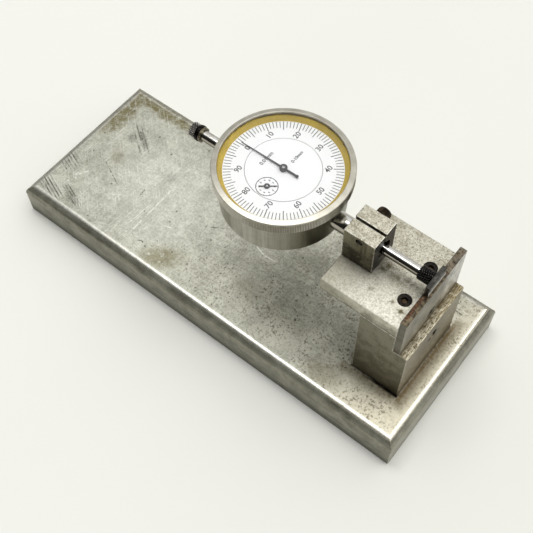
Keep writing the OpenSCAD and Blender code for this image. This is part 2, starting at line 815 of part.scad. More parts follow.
// Bezel: turned ring with a skirt over the case, a snap groove and a lip over the crystal
module bezel() {
    snap_top = snap_z + snap_h + turn_gap;
    groove_r = case_r + snap_proud + turn_gap;
    color([0.78, 0.77, 0.74]) at_dial() rotate_extrude($fn = 128)
        polygon([[bezel_bore_r, bezel_z], [bezel_r - bezel_edge, bezel_z], [bezel_r, bezel_z + bezel_edge],
                 [bezel_r, bezel_top - bezel_edge], [bezel_r - bezel_edge, bezel_top],
                 [lip_r + bezel_edge, bezel_top], [lip_r, bezel_top - bezel_edge], [lip_r, crystal_top],
                 [bezel_bore_r, crystal_top], [bezel_bore_r, snap_top], [groove_r, snap_top],
                 [groove_r, snap_z - turn_gap], [bezel_bore_r, snap_z - turn_gap]]);
}

// Crystal: clear disc snapped in behind the bezel's lip
module crystal() {
    color([0.85, 0.9, 0.92, 0.3]) at_dial(spacer_top) cylinder(r = bezel_bore_r, h = crystal_t);
}

// Spacer ring: yellow conical ring between the dial and the crystal
module spacer_ring() {
    color([0.85, 0.65, 0.2]) at_dial() rotate_extrude($fn = 128)
        polygon([[dial_opening_d / 2, dial_top], [bezel_bore_r, dial_top], [bezel_bore_r, spacer_top],
                 [lip_r - spacer_lap, spacer_top]]);
}

// Dial ring: white ring with the main scale, turns with the bezel
module dial_ring() {
    color([0.96, 0.96, 0.95]) ring(dial_z, dial_t, disc_r + turn_gap, bezel_bore_r);
}

// Gap between two teeth of the rack, as seen along the dial's axis
module rack_gap() {
    half = (rack_pitch - tooth_share * rack_m) / 2;
    deep = dedendum * rack_m;
    proud = addendum * rack_m + run_gap;
    polygon([[-half - proud * tan(pressure), -proud], [half + proud * tan(pressure), -proud],
             [half - deep * tan(pressure), deep], [-half + deep * tan(pressure), deep]]);
}

// Spindle: ground rod with the rack cut into its front side and a thinner rear end
module spindle() {
    gaps_before = floor((rack_arbor_x - rack_x0 - rack_pitch / 2) / rack_pitch);
    gaps_after = floor((rack_x1 - rack_arbor_x - rack_pitch / 2) / rack_pitch);
    color([0.8, 0.8, 0.81]) difference() {
        union() {
            along_x(rear_shoulder, collar_x, spindle_r);
            along_x(stop_x, rear_shoulder + tiny, rear_spindle_d / 2);
        }
        translate([rack_x0, rack_y - addendum * rack_m - spindle_d, axis_z - spindle_d])
            cube([rack_x1 - rack_x0, spindle_d, 2 * spindle_d]);
        for (i = [-gaps_before : gaps_after]) {
            translate([rack_arbor_x + i * rack_pitch, rack_y, axis_z - spindle_d])
                linear_extrude(2 * spindle_d) rack_gap();
        }
        along_x(collar_x - stud_l, collar_x + 1, stud_d / 2);
        along_x(stop_x - 1, stop_x + cap_stud_l, cap_stud_d / 2);
        translate([guide_x, guide_pin_root, axis_z]) rotate([-90, 0, 0])
            cylinder(d = guide_pin_d, h = spindle_d);
    }
}

// Guide pin: pressed into the spindle, runs in the rail and pulls on the return spring
module guide_pin() {
    color([0.6, 0.6, 0.62]) translate([guide_x, guide_pin_root, axis_z]) rotate([-90, 0, 0])
        cylinder(d = guide_pin_d, h = guide_y0 + guide_w - guide_pin_root);
}

// Lifting cap: knurled cap screwed into the spindle's rear end
module lift_cap() {
    stud_top = cap_l + stop_ring_t + cap_stud_l;
    color([0.13, 0.13, 0.14]) translate([cap_x, 0, axis_z]) rotate([0, 90, 0]) rotate_extrude()
        polygon([[0, 0], [grip_d / 2 - cap_edge, 0], [grip_d / 2, cap_edge], [grip_d / 2, cap_l - flange_l],
                 [cap_d / 2 - cap_edge, cap_l - flange_l], [cap_d / 2, cap_l - flange_l + cap_edge],
                 [cap_d / 2, cap_l - cap_edge], [cap_d / 2 - cap_edge, cap_l], [cap_stud_d / 2, cap_l],
                 [cap_stud_d / 2, stud_top], [0, stud_top]]);
}

// Stop ring: brass washer under the cap that lands on the rear bushing
module stop_ring() {
    color([0.75, 0.6, 0.32]) difference() {
        along_x(stop_x - stop_ring_t, stop_x, cap_d / 2 - ring_set);
        along_x(stop_x - stop_ring_t - 1, stop_x + 1, cap_stud_d / 2);
    }
}

// Contact collar: knurled, screwed into the end of the spindle
module contact_collar() {
    color([0.13, 0.13, 0.14]) translate([collar_x, 0, axis_z]) rotate([0, 90, 0]) rotate_extrude()
        polygon([[0, -stud_l], [stud_d / 2, -stud_l], [stud_d / 2, 0], [collar_d / 2 - collar_edge, 0],
                 [collar_d / 2, collar_edge], [collar_d / 2, collar_l], [0, collar_l]]);
}

// Contact blade: flat steel blade brazed to the collar, rides over the top of the fence
module contact_blade() {
    color([0.4, 0.4, 0.4]) translate([blade_x, -blade_w / 2, fence_top + contact_gap])
        cube([blade_t, blade_w, axis_z + blade_over - fence_top - contact_gap]);
}

// An arbor with a pivot at its foot
module arbor(z0, shoulder, z1) {
    translate([0, 0, z0]) cylinder(r = pivot_r, h = shoulder - z0 + tiny);
    translate([0, 0, shoulder]) cylinder(r = arbor_r, h = z1 - shoulder);
}

// Rack arbor: steel arbor with the pinion that meshes with the rack
module rack_arbor() {
    color([0.7, 0.7, 0.72]) translate([rack_arbor_x, rack_arbor_y, 0]) {
        arbor(cock_z, cock_z + cock_t + run_gap, upper_z - run_gap);
        translate([0, 0, upper_z - run_gap - tiny]) cylinder(r = pivot_r, h = frame_t);
        translate([0, 0, axis_z - rack_pinion_h / 2]) linear_extrude(rack_pinion_h)
            rotate(90) gear_outline(rack_pinion_n, rack_m);
    }
}

// A large wheel on its arbor, with lightening holes
module wheel(phase) {
    holes = 5;
    difference() {
        linear_extrude(wheel_t) rotate(phase) gear_outline(wheel_n, gear_m);
        translate([0, 0, -1]) cylinder(r = arbor_r, h = wheel_t + 2);
        for (i = [0 : holes - 1]) {
            rotate(360 * (i + 0.5) / holes) translate([wheel_r * 0.55, 0, -1])
                cylinder(r = wheel_r * 0.2, h = wheel_t + 2);
        }
    }
}

// Rack wheel: brass wheel on the rack arbor, drives the centre pinion
module rack_wheel() {
    color([0.82, 0.66, 0.32]) translate([rack_arbor_x, rack_arbor_y, rack_wheel_z]) wheel(rack_side + 180);
}

// Centre arbor: long pinion under the dial, carries the pointer
module centre_arbor() {
    z0 = rack_wheel_z - wheel_gap;
    color([0.7, 0.7, 0.72]) at_dial() {
        arbor(main_z, main_top + run_gap, dial_top + counter_hub_gap);
        cylinder_on(dial_top, seat_r, hub_z + hub_h - dial_top);
        translate([0, 0, z0]) linear_extrude(hairspring_z - run_gap - z0)
            rotate(rack_side + pinion_gap_step / 2) gear_outline(pinion_n, gear_m);
    }
}

// A cylinder standing at a height
module cylinder_on(z, r, h) {
    translate([0, 0, z]) cylinder(r = r, h = h);
}

// Outline of a hand along +X: a taper to the tip and a short tail with a round end
module hand_outline(root_w, tip_w, tip_l, tail_l, tail_r) {
    polygon([[-tail_l, -root_w / 2], [tip_l, -tip_w / 2], [tip_l, tip_w / 2], [-tail_l, root_w / 2]]);
    translate([-tail_l, 0]) circle(tail_r);
}

// Pointer: black hand with a round hub, points away from the stem at rest
module pointer() {
    color([0.08, 0.08, 0.08]) at_dial() difference() {
        union() {
            cylinder_on(hub_z, hub_r, hub_h);
            translate([0, 0, hand_z]) rotate(180) linear_extrude(hand_t)
                hand_outline(pointer_root_w, pointer_tip_w, pointer_l, pointer_tail, pointer_tail_r);
        }
        cylinder_on(hub_z - 1, seat_r, hub_h + 2);
    }
}

// Counter arbor: turns once while the pointer turns ten times
module counter_arbor() {
    color([0.7, 0.7, 0.72]) translate([dial_x, counter_y, 0]) {
        arbor(main_z, main_top + run_gap, dial_top - counter_shoulder);
        cylinder_on(dial_top - counter_shoulder - tiny, pivot_r,
                    counter_hub_z + counter_hub_h - dial_top + counter_shoulder + tiny);
    }
}

// Counter wheel: brass wheel that the centre pinion drives
module counter_wheel() {
    color([0.82, 0.66, 0.32]) translate([dial_x, counter_y, counter_wheel_z]) wheel(counter_phase);
}

// Hairspring collet: brass ring on the counter arbor that holds the hairspring's inner end
module hairspring_collet() {
    color([0.8, 0.64, 0.3]) translate([dial_x, counter_y, hairspring_z]) difference() {
        cylinder(r = collet_r, h = hairspring_h);
        translate([0, 0, -1]) cylinder(r = arbor_r, h = hairspring_h + 2);
    }
}

// Counter hand: small hand over the fixed middle of the dial
module counter_hand() {
    color([0.08, 0.08, 0.08]) translate([dial_x, counter_y, 0]) difference() {
        union() {
            cylinder_on(counter_hub_z, counter_hub_r, counter_hub_h);
            translate([0, 0, counter_hand_z]) rotate(counter_angle) linear_extrude(counter_hand_t)
                hand_outline(counter_root_w, counter_tip_w, counter_l, counter_tail, counter_root_w / 2);
        }
        cylinder_on(counter_hub_z - 1, pivot_r, counter_hub_h + 2);
    }
}

base_plate();
riser_block();
riser_screws();
top_plate();
top_plate_screws();
fence_plate();
fence_screw();
clamp_block();
clamp_mount_screws();
clamp_screw();
case_body();
back_cover();
back_cover_screws();
stem();
rear_bushing();
main_plate();
upper_plate();
pillars();
movement_screws();
lower_cock();
guide_rail();
spring_post();
return_spring();
hairspring();
bezel_ring();
centre_disc();
bezel();
crystal();
spacer_ring();
dial_ring();
spindle();
guide_pin();
lift_cap();
stop_ring();
contact_collar();
contact_blade();
rack_arbor();
rack_wheel();
centre_arbor();
pointer();
counter_arbor();
counter_wheel();
hairspring_collet();
counter_hand();
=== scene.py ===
import math

import bmesh
import bpy
from mathutils import Matrix, Vector


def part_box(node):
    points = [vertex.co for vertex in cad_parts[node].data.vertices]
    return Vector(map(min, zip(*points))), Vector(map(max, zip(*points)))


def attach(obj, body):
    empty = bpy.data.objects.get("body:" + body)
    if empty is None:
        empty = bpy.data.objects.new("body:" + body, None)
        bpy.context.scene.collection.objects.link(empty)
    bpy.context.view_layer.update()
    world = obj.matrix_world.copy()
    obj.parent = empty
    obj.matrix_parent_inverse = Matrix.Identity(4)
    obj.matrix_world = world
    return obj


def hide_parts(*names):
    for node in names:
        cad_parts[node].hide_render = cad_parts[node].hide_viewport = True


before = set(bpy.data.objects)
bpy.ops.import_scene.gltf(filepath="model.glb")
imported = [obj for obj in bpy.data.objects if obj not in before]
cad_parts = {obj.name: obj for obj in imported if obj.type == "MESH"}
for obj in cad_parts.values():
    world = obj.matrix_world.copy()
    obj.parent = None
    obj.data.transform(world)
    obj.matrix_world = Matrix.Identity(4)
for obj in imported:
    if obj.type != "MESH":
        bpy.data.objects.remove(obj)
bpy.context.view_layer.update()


# Base plate: a heavy flat bar of bare aluminium with its upper edges rounded over. It is worn and stained,
# and a file has skidded over one end. Two counterbores underneath hold the riser's screws.
MM = 0.001
WELD = 0.002 * MM
SMOOTH = math.radians(30)
FLAT = math.radians(20)
scene = bpy.context.scene
add_object = scene.collection.objects.link


class Wire:
    """An output of a node. Arithmetic on it adds Math nodes, and node() adds any other kind."""

    def __init__(self, tree, socket):
        self.tree = tree
        self.socket = socket

    def node(self, kind, settings=None, sockets=None, out=0):
        new = self.tree.nodes.new(kind)
        for key, value in (settings or {}).items():
            setattr(new, key, value)
        for key, value in (sockets or {}).items():
            if isinstance(value, Wire):
                self.tree.links.new(value.socket, new.inputs[key])
            else:
                new.inputs[key].default_value = value
        return Wire(self.tree, new.outputs[out])

    def maths(self, operation, *values):
        """A Math node on these values, or on this one alone."""
        return self.node("ShaderNodeMath", {"operation": operation}, dict(enumerate(values or (self,))))

    def __add__(self, other):
        return self.maths("ADD", self, other)

    def __sub__(self, other):
        return self.maths("SUBTRACT", self, other)

    def __rsub__(self, other):
        return self.maths("SUBTRACT", other, self)

    def __mul__(self, other):
        return self.maths("MULTIPLY", self, other)

    def __truediv__(self, other):
        return self.maths("DIVIDE", self, other)

    def __mod__(self, other):
        return self.maths("MODULO", self, other)

    __radd__ = __add__
    __rmul__ = __mul__

    def __abs__(self):
        return self.maths("ABSOLUTE")

    def top(self, other):
        """The greater of two values."""
        return self.maths("MAXIMUM", self, other)

    def smooth(self, low, high):
        """0 up to low and 1 from high, with a soft step between."""
        return self.node("ShaderNodeMapRange", {"interpolation_type": "SMOOTHSTEP"},
                         {"Value": self, "From Min": low, "From Max": high})

    def ramp(self, low, high):
        """The same between two lengths in millimetres."""
        return self.smooth(low * MM, high * MM)

    def tint(self, low, high):
        """The colour low where this is 0, and high where it is 1. A plain colour is as a screen shows it."""
        low, high = (shown(*end) if isinstance(end, tuple) else end for end in (low, high))
        return self.node("ShaderNodeMix", {"data_type": "RGBA"}, {0: self, 6: low, 7: high}, out=2)

    def mottle(self, low, high):
        """Two colours, mixed by a noise."""
        return self.smooth(0.3, 0.7).tint(low, high)

    def axes(self):
        """The three parts of a vector."""
        parts = self.node("ShaderNodeSeparateXYZ", None, {0: self}).socket.node.outputs
        return [Wire(self.tree, part) for part in parts]

    def along(self, axis):
        """1 where a facing looks along an axis, 0 to 2."""
        return self.axes()[axis].smooth(0.7, 0.95)

    def vector(self, x, y, z):
        """A vector of three values."""
        return self.node("ShaderNodeCombineXYZ", None, {0: x, 1: y, 2: z})

    def laid(self, turn=0.0, stretch=(1, 1, 1), centre=(0, 0, 0)):
        """These coordinates about a centre, turned about Z and drawn out along each axis."""
        return self.node("ShaderNodeMapping", {"vector_type": "TEXTURE"},
                         {"Vector": self, "Location": centre, "Rotation": (0, 0, turn), "Scale": stretch})

    def grain(self, size, detail=3.0, rough=0.55, out=0):
        """Noise on these coordinates with lumps of about that size."""
        return self.node("ShaderNodeTexNoise", None,
                         {"Vector": self, "Scale": 1 / size, "Detail": detail, "Roughness": rough}, out)

    def dots(self, cell, radius, share, flat="2D"):
        """Round spots of up to that radius in a share of the cells of that size, in millimetres."""
        near = self.node("ShaderNodeTexVoronoi", {"voronoi_dimensions": flat},
                         {"Vector": self, "Scale": 1 / (cell * MM)})
        chance = Wire(self.tree, near.socket.node.outputs[1]).axes()[0]
        return near.smooth(radius / cell, 0.35 * radius / cell) * chance.smooth(1.0 - share, 1.02 - share)

    def scratches(self, turn, length, width, rare):
        """Short thin lines in one direction, in degrees and millimetres. A higher last number is rarer."""
        lines = self.laid(math.radians(turn), (length * MM, width * MM, 1)).grain(1.0, 1.0, 0.3)
        return lines.smooth(rare, rare + 0.06)

    def strip(self, x0, y0, x1, y1):
        """A line between two points in millimetres: its turn, the share of it passed, and the way off it."""
        run = Vector((x1 - x0, y1 - y0)) * MM
        turn = math.atan2(run.y, run.x)
        along, across, _ = self.laid(turn, (run.length, 1, 1), (x0 * MM, y0 * MM, 0)).axes()
        return turn, along, across

    def stroke(self, x0, y0, x1, y1, width):
        """One soft line on a face that looks up, between two points in millimetres."""
        _, along, across = self.strip(x0, y0, x1, y1)
        line = abs(across).smooth(width * MM, 0.2 * width * MM)
        return line * along.smooth(-0.02, 0.1) * along.smooth(1.02, 0.8)

    def hatch(self, x0, y0, x1, y1, breadth, pitch):
        """Broken parallel lines along a line between two points, filling a strip, in millimetres."""
        turn, along, across = self.strip(x0, y0, x1, y1)
        unbroken = 7 * MM
        broken = self.laid(turn, (unbroken, pitch * MM, 1)).grain(1.0, 1.0).smooth(0.36, 0.54)
        inside = abs(across).smooth(0.5 * breadth * MM, 0.3 * breadth * MM)
        inside = inside * along.smooth(0.0, 0.2) * along.smooth(1.0, 0.7)
        row = across.maths("PINGPONG", across, 0.5 * pitch * MM)
        return row.smooth(0.3 * pitch * MM, 0.1 * pitch * MM) * broken * inside

    def patch(self, x, y, length, breadth, turn=0.0):
        """A soft oval on a face that looks up, in millimetres and degrees."""
        oval = self.laid(math.radians(turn), (length * MM, breadth * MM, 1), (x * MM, y * MM, 0))
        along, across, _ = oval.axes()
        return (along * along + across * across).maths("SQRT").smooth(1.0, 0.2)

    def broken_edges(self):
        """1 on the edges that eased() has broken, which the finishes paint paler for wear and a painted
        highlight.
        """
        return self.node("ShaderNodeAttribute", {"attribute_name": "edge"}, out=2)

    def bump(self, strength, depth):
        """Raises the surface by this height, to a depth in millimetres."""
        self.node("ShaderNodeBump", None, {"Strength": strength, "Distance": depth * MM, "Height": self}
                  ).feeds("Normal")

    def feeds(self, name, end="Principled BSDF"):
        """Links this to an input of the node that ends its tree."""
        self.tree.links.new(self.socket, self.tree.nodes[end].inputs[name])


def shown(red, green, blue):
    """A colour given as it shows on a screen, as the linear values that a node takes."""
    parts = [c / 255 for c in (red, green, blue)]
    return tuple(c / 12.92 if c < 0.04045 else ((c + 0.055) / 1.055) ** 2.4 for c in parts) + (1.0,)


def begin(name, metallic, **sockets):
    """A new material, and the place and facing of a point on the object."""
    finish = bpy.data.materials.new(name)
    finish.use_nodes = True
    tree = finish.node_tree
    shader = tree.nodes["Principled BSDF"]
    shader.inputs["Metallic"].default_value = metallic
    for key, value in sockets.items():
        shader.inputs[key.replace("_", " ")].default_value = value
    source = tree.nodes.new("ShaderNodeTexCoord")
    return finish, Wire(tree, source.outputs["Object"]), Wire(tree, source.outputs["Normal"])


def baked(draft):
    """The finished mesh of an object with modifiers or of a text; the object itself is removed."""
    add_object(draft)
    graph = bpy.context.evaluated_depsgraph_get()
    mesh = bpy.data.meshes.new_from_object(draft.evaluated_get(graph), preserve_all_data_layers=True,
                                           depsgraph=graph)
    bpy.data.objects.remove(draft)
    return mesh


def eased(node, width, shortest=2.2 * MM):
    """A merged copy of a CAD node with its sharp edges broken, but for edges as short as a bore's.

    The broken edges are marked in the attribute "edge"."""
    shape = bmesh.new()
    shape.from_mesh(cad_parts[node].data)
    bmesh.ops.remove_doubles(shape, verts=shape.verts[:], dist=WELD)
    bmesh.ops.dissolve_limit(shape, angle_limit=math.radians(0.5), verts=shape.verts[:],
                             edges=shape.edges[:])
    sharp = [e for e in shape.edges if e.calc_face_angle(0.0) > SMOOTH and e.calc_length() > shortest]
    broken = bmesh.ops.bevel(shape, geom=sharp, offset=width, segments=2, profile=0.5, affect="EDGES",
                             clamp_overlap=True)["faces"]
    edge = shape.loops.layers.float.new("edge")
    for face in broken:
        for corner in face.loops:
            corner[edge] = 1.0
    return shape


def piece(name, shape, finish, body, slot, *nodes, smooth=SMOOTH, mitred=False):
    """A finished object from a mesh in the making, riding on a body and standing for CAD nodes.

    Where it is mitred, the edges that run aslant in plan stay crisp."""
    mesh = bpy.data.meshes.new(name)
    shape.to_mesh(mesh)
    shape.free()
    mesh.materials.append(finish)
    mesh.shade_smooth()
    mesh.set_sharp_from_angle(angle=smooth)
    for line in mesh.edges if mitred else ():
        start, end = (mesh.vertices[i].co for i in line.vertices)
        if min(abs(end.x - start.x), abs(end.y - start.y)) > 5 * WELD:
            line.use_edge_sharp = True
    draft = bpy.data.objects.new(name, mesh)
    draft.modifiers.new("even", "WEIGHTED_NORMAL").keep_sharp = True
    made = bpy.data.objects.new(name, baked(draft))
    add_object(made)
    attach(made, body)
    if nodes:
        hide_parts(*nodes)


def stand_block(name, node, width, finish, slot, mitred=False):
    """A solid of the stand with its edges broken by that width."""
    piece(name, eased(node, width), finish, "stand", slot, node, smooth=FLAT, mitred=mitred)


base_lo, base_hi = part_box("base_plate")
riser_lo, riser_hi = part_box("riser_block")
bar, place, facing = begin("worn_bar", 1.0)
x, y, z = place.axes()
tilt = facing.axes()[2]
upward = tilt.smooth(0.82, 0.97)
edge = place.broken_edges()
cloud = place.grain(50 * MM, 2.0)
blotch = place.grain(7 * MM, 5.0, 0.62)
speckle = place.grain(0.9 * MM, 2.0, 0.7)
brushed = place.laid(math.radians(3), (24 * MM, 0.7 * MM, 1)).grain(1.0, 3.0)
crossed = place.laid(math.radians(84), (15 * MM, 0.5 * MM, 1)).grain(1.0, 3.0)
tone = (0.26 * cloud + 0.27 * blotch + 0.27 * speckle + 0.1 * brushed + 0.1 * crossed).smooth(0.38, 0.62)
colour = tone.tint((136, 136, 124), (194, 194, 181))
rubbed = place.patch(-52, -4, 54, 48) * 0.65
colour = rubbed.tint(colour, tone.tint((184, 185, 174), (226, 227, 216)))
# Painted sheen: the near right corner of the top is painted paler and warmer.
painted_corner_sheen = (x - 0.35 * y).ramp(70, 106)
colour = (painted_corner_sheen * 0.6).tint(colour, (222, 213, 190))
colour = (place.patch(39, -29, 15, 11) * 0.6).tint(colour, (212, 210, 196))
worked = x.ramp(-45, 50)
clumped = 0.3 + 0.7 * place.grain(14 * MM, 2.0).smooth(0.35, 0.6)
gritty = place.grain(1.2 * MM, 3.0, 0.7).smooth(0.5, 0.64) * clumped
colour = (gritty * (0.14 + 0.62 * worked)).tint(colour, (94, 86, 64))

# Oil has dried in a brown border at the far corner, in a few patches and round the riser's foot. Near the
# riser and the dial, some of the darkening is painted shade.
ragged = (place.grain(9 * MM, 4.0, 0.65) - 0.5) * (12 * MM)
mottled = place.grain(2.6 * MM, 4.0, 0.65).smooth(0.24, 0.54)
left_stain = abs(x + ragged - (base_lo.x + 7 * MM)).ramp(6.5, 1.5)
left_stain = left_stain * y.ramp(1, 15)
far_stain = abs(y + ragged - (base_hi.y - 5.5 * MM)).ramp(5.5, 1.5)
far_stain = far_stain * x.ramp(-54, -72)
stain = left_stain.top(far_stain).top(place.patch(-29, -31, 16, 9, 35) * 0.8) * mottled
colour = (stain.top(place.patch(-86, 1, 11, 6, -50) * 0.3) * 0.85).tint(colour, (109, 101, 62))
riser_mid = (riser_lo + riser_hi) / 2
half = riser_hi - riser_mid
outside = (abs(x - riser_mid.x) - half.x).top(abs(y - riser_mid.y) - half.y)
crust = outside.ramp(4.0, 1.0) * place.grain(1.8 * MM, 4.0, 0.68).smooth(0.46, 0.6)
colour = (crust * 0.75).tint(colour, (84, 74, 54))
beside = x.smooth(riser_hi.x, riser_hi.x + 0.5 * MM)
beside = beside.top(y.smooth(riser_lo.y, riser_lo.y - 0.5 * MM) * 0.8) * outside.ramp(7, 2.5)
# Dirt along the riser's foot, and painted shade: darker patches in front of the riser and the dial stand for
# their shadow and reflection on the bar.
smear_and_painted_shade = (beside * 1.2).top(place.patch(66, -32, 14, 9) * 0.8).top(place.patch(14, -19, 13, 8) * 0.5)
colour = (smear_and_painted_shade * 0.62).tint(colour, (116, 107, 84))
bead = abs(outside - 1.3 * MM).ramp(1.0, 0.4) * x.smooth(riser_hi.x, riser_hi.x + 0.5 * MM)
colour = (bead * mottled * 0.7).tint(colour, (106, 88, 60))
# Painted shadow: a black line on the bar along the riser's front foot and thinly round it, standing for the
# shadow in the joint.
opened = x.smooth(riser_lo.x + 2 * MM, riser_lo.x + 14 * MM) * x.smooth(riser_hi.x + 0.6 * MM, riser_hi.x)
painted_foot_shadow = outside.ramp(1.4, 0.5) * y.smooth(riser_lo.y + 0.4 * MM, riser_lo.y) * opened
colour = painted_foot_shadow.top(outside.ramp(0.5, 0.1) * 0.6).tint(colour, (26, 22, 16))

# A file has skidded over the left end. Tools have left smears and lines, and pits nearer to the riser.
gouges = place.hatch(-108, -30.3, -88, -38, 8, 1.5).top(place.hatch(-95, -28, -77, -34.5, 5.5, 1.3))
gouges = gouges.top(place.hatch(-110, -14, -96, -19.2, 12, 1.6))
gouges = gouges.top(place.hatch(-93, 22, -73, 8, 7, 2.0) * 0.8)
dark = (place.patch(-98.5, -33.6, 9, 4.4, -14).top(place.patch(-86, -31.6, 9, 3.4, -20)) * 0.5).top(gouges)
for strength, spot in ((0.25, (-103, -17, 4, 8)), (0.55, (-82, 15.7, 9, 2.4, -35)),
                       (0.45, (-87.5, 13, 4.5, 2, -60))):
    dark = dark.top(place.patch(*spot) * strength)
dark = dark.top(place.patch(-55, 6.5, 6, 4.5, 30) * blotch * 0.6)
lines = place.stroke(-87.8, -5.8, -72.2, -13.3, 0.35)
for line in ((93.6, 29.1, 99.2, 29.1, 0.7), (-21.5, -4.1, -14.9, 0, 0.45), (-60.6, -6.5, -60, -11.8, 0.45),
             (-43.8, -30.8, -42, -29.4, 0.5), (-42.2, -29.4, -40.6, -30, 0.5), (-88, 20, -76, 10.5, 0.5)):
    lines = lines.top(place.stroke(*line))
broken = place.grain(1.7 * MM, 2.0).smooth(0.38, 0.58)
cluster = place.grain(11 * MM, 3.0).smooth(0.36, 0.6) * x.ramp(-80, 20)
cluster = cluster * (1.0 - 0.9 * (x - 0.7 * y).ramp(82, 106))
bends = place.grain(1.1 * MM, 2.0, 0.5, out=1)
bent = place.node("ShaderNodeVectorMath", {"operation": "MULTIPLY_ADD"},
                  {0: bends, 1: Vector((1.5, 1.5, 0)) * MM, 2: place})
pits = bent.dots(1.8, 0.34, 0.4).top(bent.dots(3.5, 0.55, 0.36))
pits = pits * (0.12 + 0.88 * cluster)
dark = dark.top(lines * broken).top(pits).top(place.dots(12, 0.7, 0.4) * speckle * 1.7)
light = place.hatch(-108, -29.6, -88, -37.3, 9, 1.5)
light = light.top(place.hatch(-110, -13.2, -96, -18.4, 12, 1.6)) * 0.5
light = light.top(place.dots(2.4, 0.5, 0.5) * place.patch(-95, -24, 12, 5, 45) * 1.5)
scores = place.stroke(2.9, 1.1, 9.3, -0.6, 0.4).top(place.stroke(9, -0.55, 15.5, 0, 0.4))
for line in ((-49.6, -30.3, -50, 6.1, 0.5), (-53.6, -26, -52.6, -11, 0.35),
             (-91.9, -17.7, -87.5, -12.2, 0.6), (-95, -21.5, -90.5, -17.5, 0.6), (-40, -17, -35, -15.5, 0.4)):
    scores = scores.top(place.stroke(*line) * broken)
fine = place.scratches(88, 17, 0.4, 0.64).top(place.scratches(24, 13, 0.35, 0.65))
fine = fine.top(place.scratches(-42, 15, 0.4, 0.63))
# Painted highlight: a pale ragged line where the front edge starts to round over.
painted_front_highlight = (abs(y + 38 * MM) - 1.4 * MM * place.grain(2 * MM, 4.0)).ramp(0.9, 0.1) * blotch
light = light.top(scores).top(fine * (0.16 + 0.36 * x.ramp(-20, -60))).top(painted_front_highlight * 0.8)
colour = (dark * upward * 0.85).tint(colour, (62, 60, 50))
colour = (light * upward * 0.65).tint(colour, (234, 234, 228))

# The sides keep the lengthwise streaks of the drawn bar under a brownish film.
streaks = place.laid(0.0, (60, 60, 1)).grain(0.9 * MM, 3.0, 0.6)
film = (0.34 * streaks + 0.46 * blotch + 0.2 * speckle).smooth(0.34, 0.66)
film = film.tint((106, 104, 90), (160, 159, 144))
# Painted shade: the sides darken towards the table.
film = z.ramp(9, -2).tint(film, (92, 91, 79))
colour = upward.tint(film, colour)
# Painted highlight: the rounded edges are painted paler where they start to fall away from the top.
painted_sheen = tilt.smooth(0.9, 0.96) * tilt.smooth(1.0, 0.995) * (0.4 + 0.6 * broken)
colour = (painted_sheen * 0.6).tint(colour, (226, 224, 215))
# Painted light: the right end face is painted paler, as if lit from the right.
painted_light_right_end = facing.axes()[0].smooth(0.8, 0.98)
colour = (painted_light_right_end * 0.3).tint(colour, (196, 192, 180))
oily = tilt.smooth(0.3, 0.6) * tilt.smooth(0.96, 0.88) * (0.55 + 0.45 * x.smooth(-80 * MM, 0.0))
(1.0 - 0.5 * oily).feeds("Metallic")
# The broken edges of the sides are painted paler, for wear and a painted highlight.
(edge * (1.0 - upward) * 0.5).tint(colour, (190, 188, 179)).feeds("Base Color")
dull = tilt.smooth(0.985, 0.999) * (0.16 + 0.12 * blotch) + tilt.smooth(0.94, 0.8) * 0.18
(0.22 + 0.06 * streaks + dull).feeds("Roughness")
(speckle * 0.4 + blotch * 0.6 + crossed * 0.3 + brushed * 0.2).bump(0.14, 0.22)
stand_block("base_bar", "base_plate", 0.35 * MM, bar, "base_aluminium", mitred=True)


# Riser block: a sawn block of the same aluminium, stepped on its outer side for the fence, with a rough
# ledge that carries the work. It stands on the base on two cap screws from below.
fence_lo, fence_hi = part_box("fence_plate")


def sawn_block(name, top_light, top_dark, side_light, side_dark, foot, rise):
    """Sawn aluminium with speckled tops, edges painted bright for wear and a painted highlight, and olive
    sides painted darker than the tops and darker still to the foot as painted shade.
    """
    finish, place, facing = begin(name, 1.0)
    upward = facing.along(2)
    edge = place.broken_edges()
    blotch = place.grain(5 * MM, 4.0, 0.62)
    patchy = place.grain(1.1 * MM, 3.0, 0.65)
    speckle = place.grain(0.55 * MM, 2.0, 0.7)
    sawn = place.laid(0.0, (14, 14, 1)).grain(0.5 * MM, 2.0)
    pits = place.dots(3, 0.36, 0.3, "3D").top(place.dots(2.4, 0.34, 0.35) * upward)
    top = (0.3 * blotch + 0.35 * patchy + 0.35 * speckle).smooth(0.37, 0.62).tint(top_dark, top_light)
    # Painted shade: the sides darken to the foot.
    drop = place.axes()[2].smooth(foot, foot + rise)
    worn = 0.34 * blotch.smooth(0.32, 0.68) + 0.22 * patchy.smooth(0.3, 0.7)
    side = (0.34 * drop + worn + 0.1 * sawn).smooth(0.2, 0.76).tint(side_dark, side_light)
    colour = (pits * (0.4 + 0.4 * upward)).tint(upward.tint(side, top), (70, 62, 46))
    # Edges painted bright, for wear and a painted highlight.
    colour = (edge * patchy.smooth(0.34, 0.6) * 0.75).tint(colour, (232, 229, 219))
    (0.34 + 0.2 * speckle).feeds("Roughness")
    (speckle * 0.5 + patchy * 0.5 + blotch * 0.4 + sawn * 0.25 - pits).bump(0.16, 0.22)
    return finish, place, facing, colour


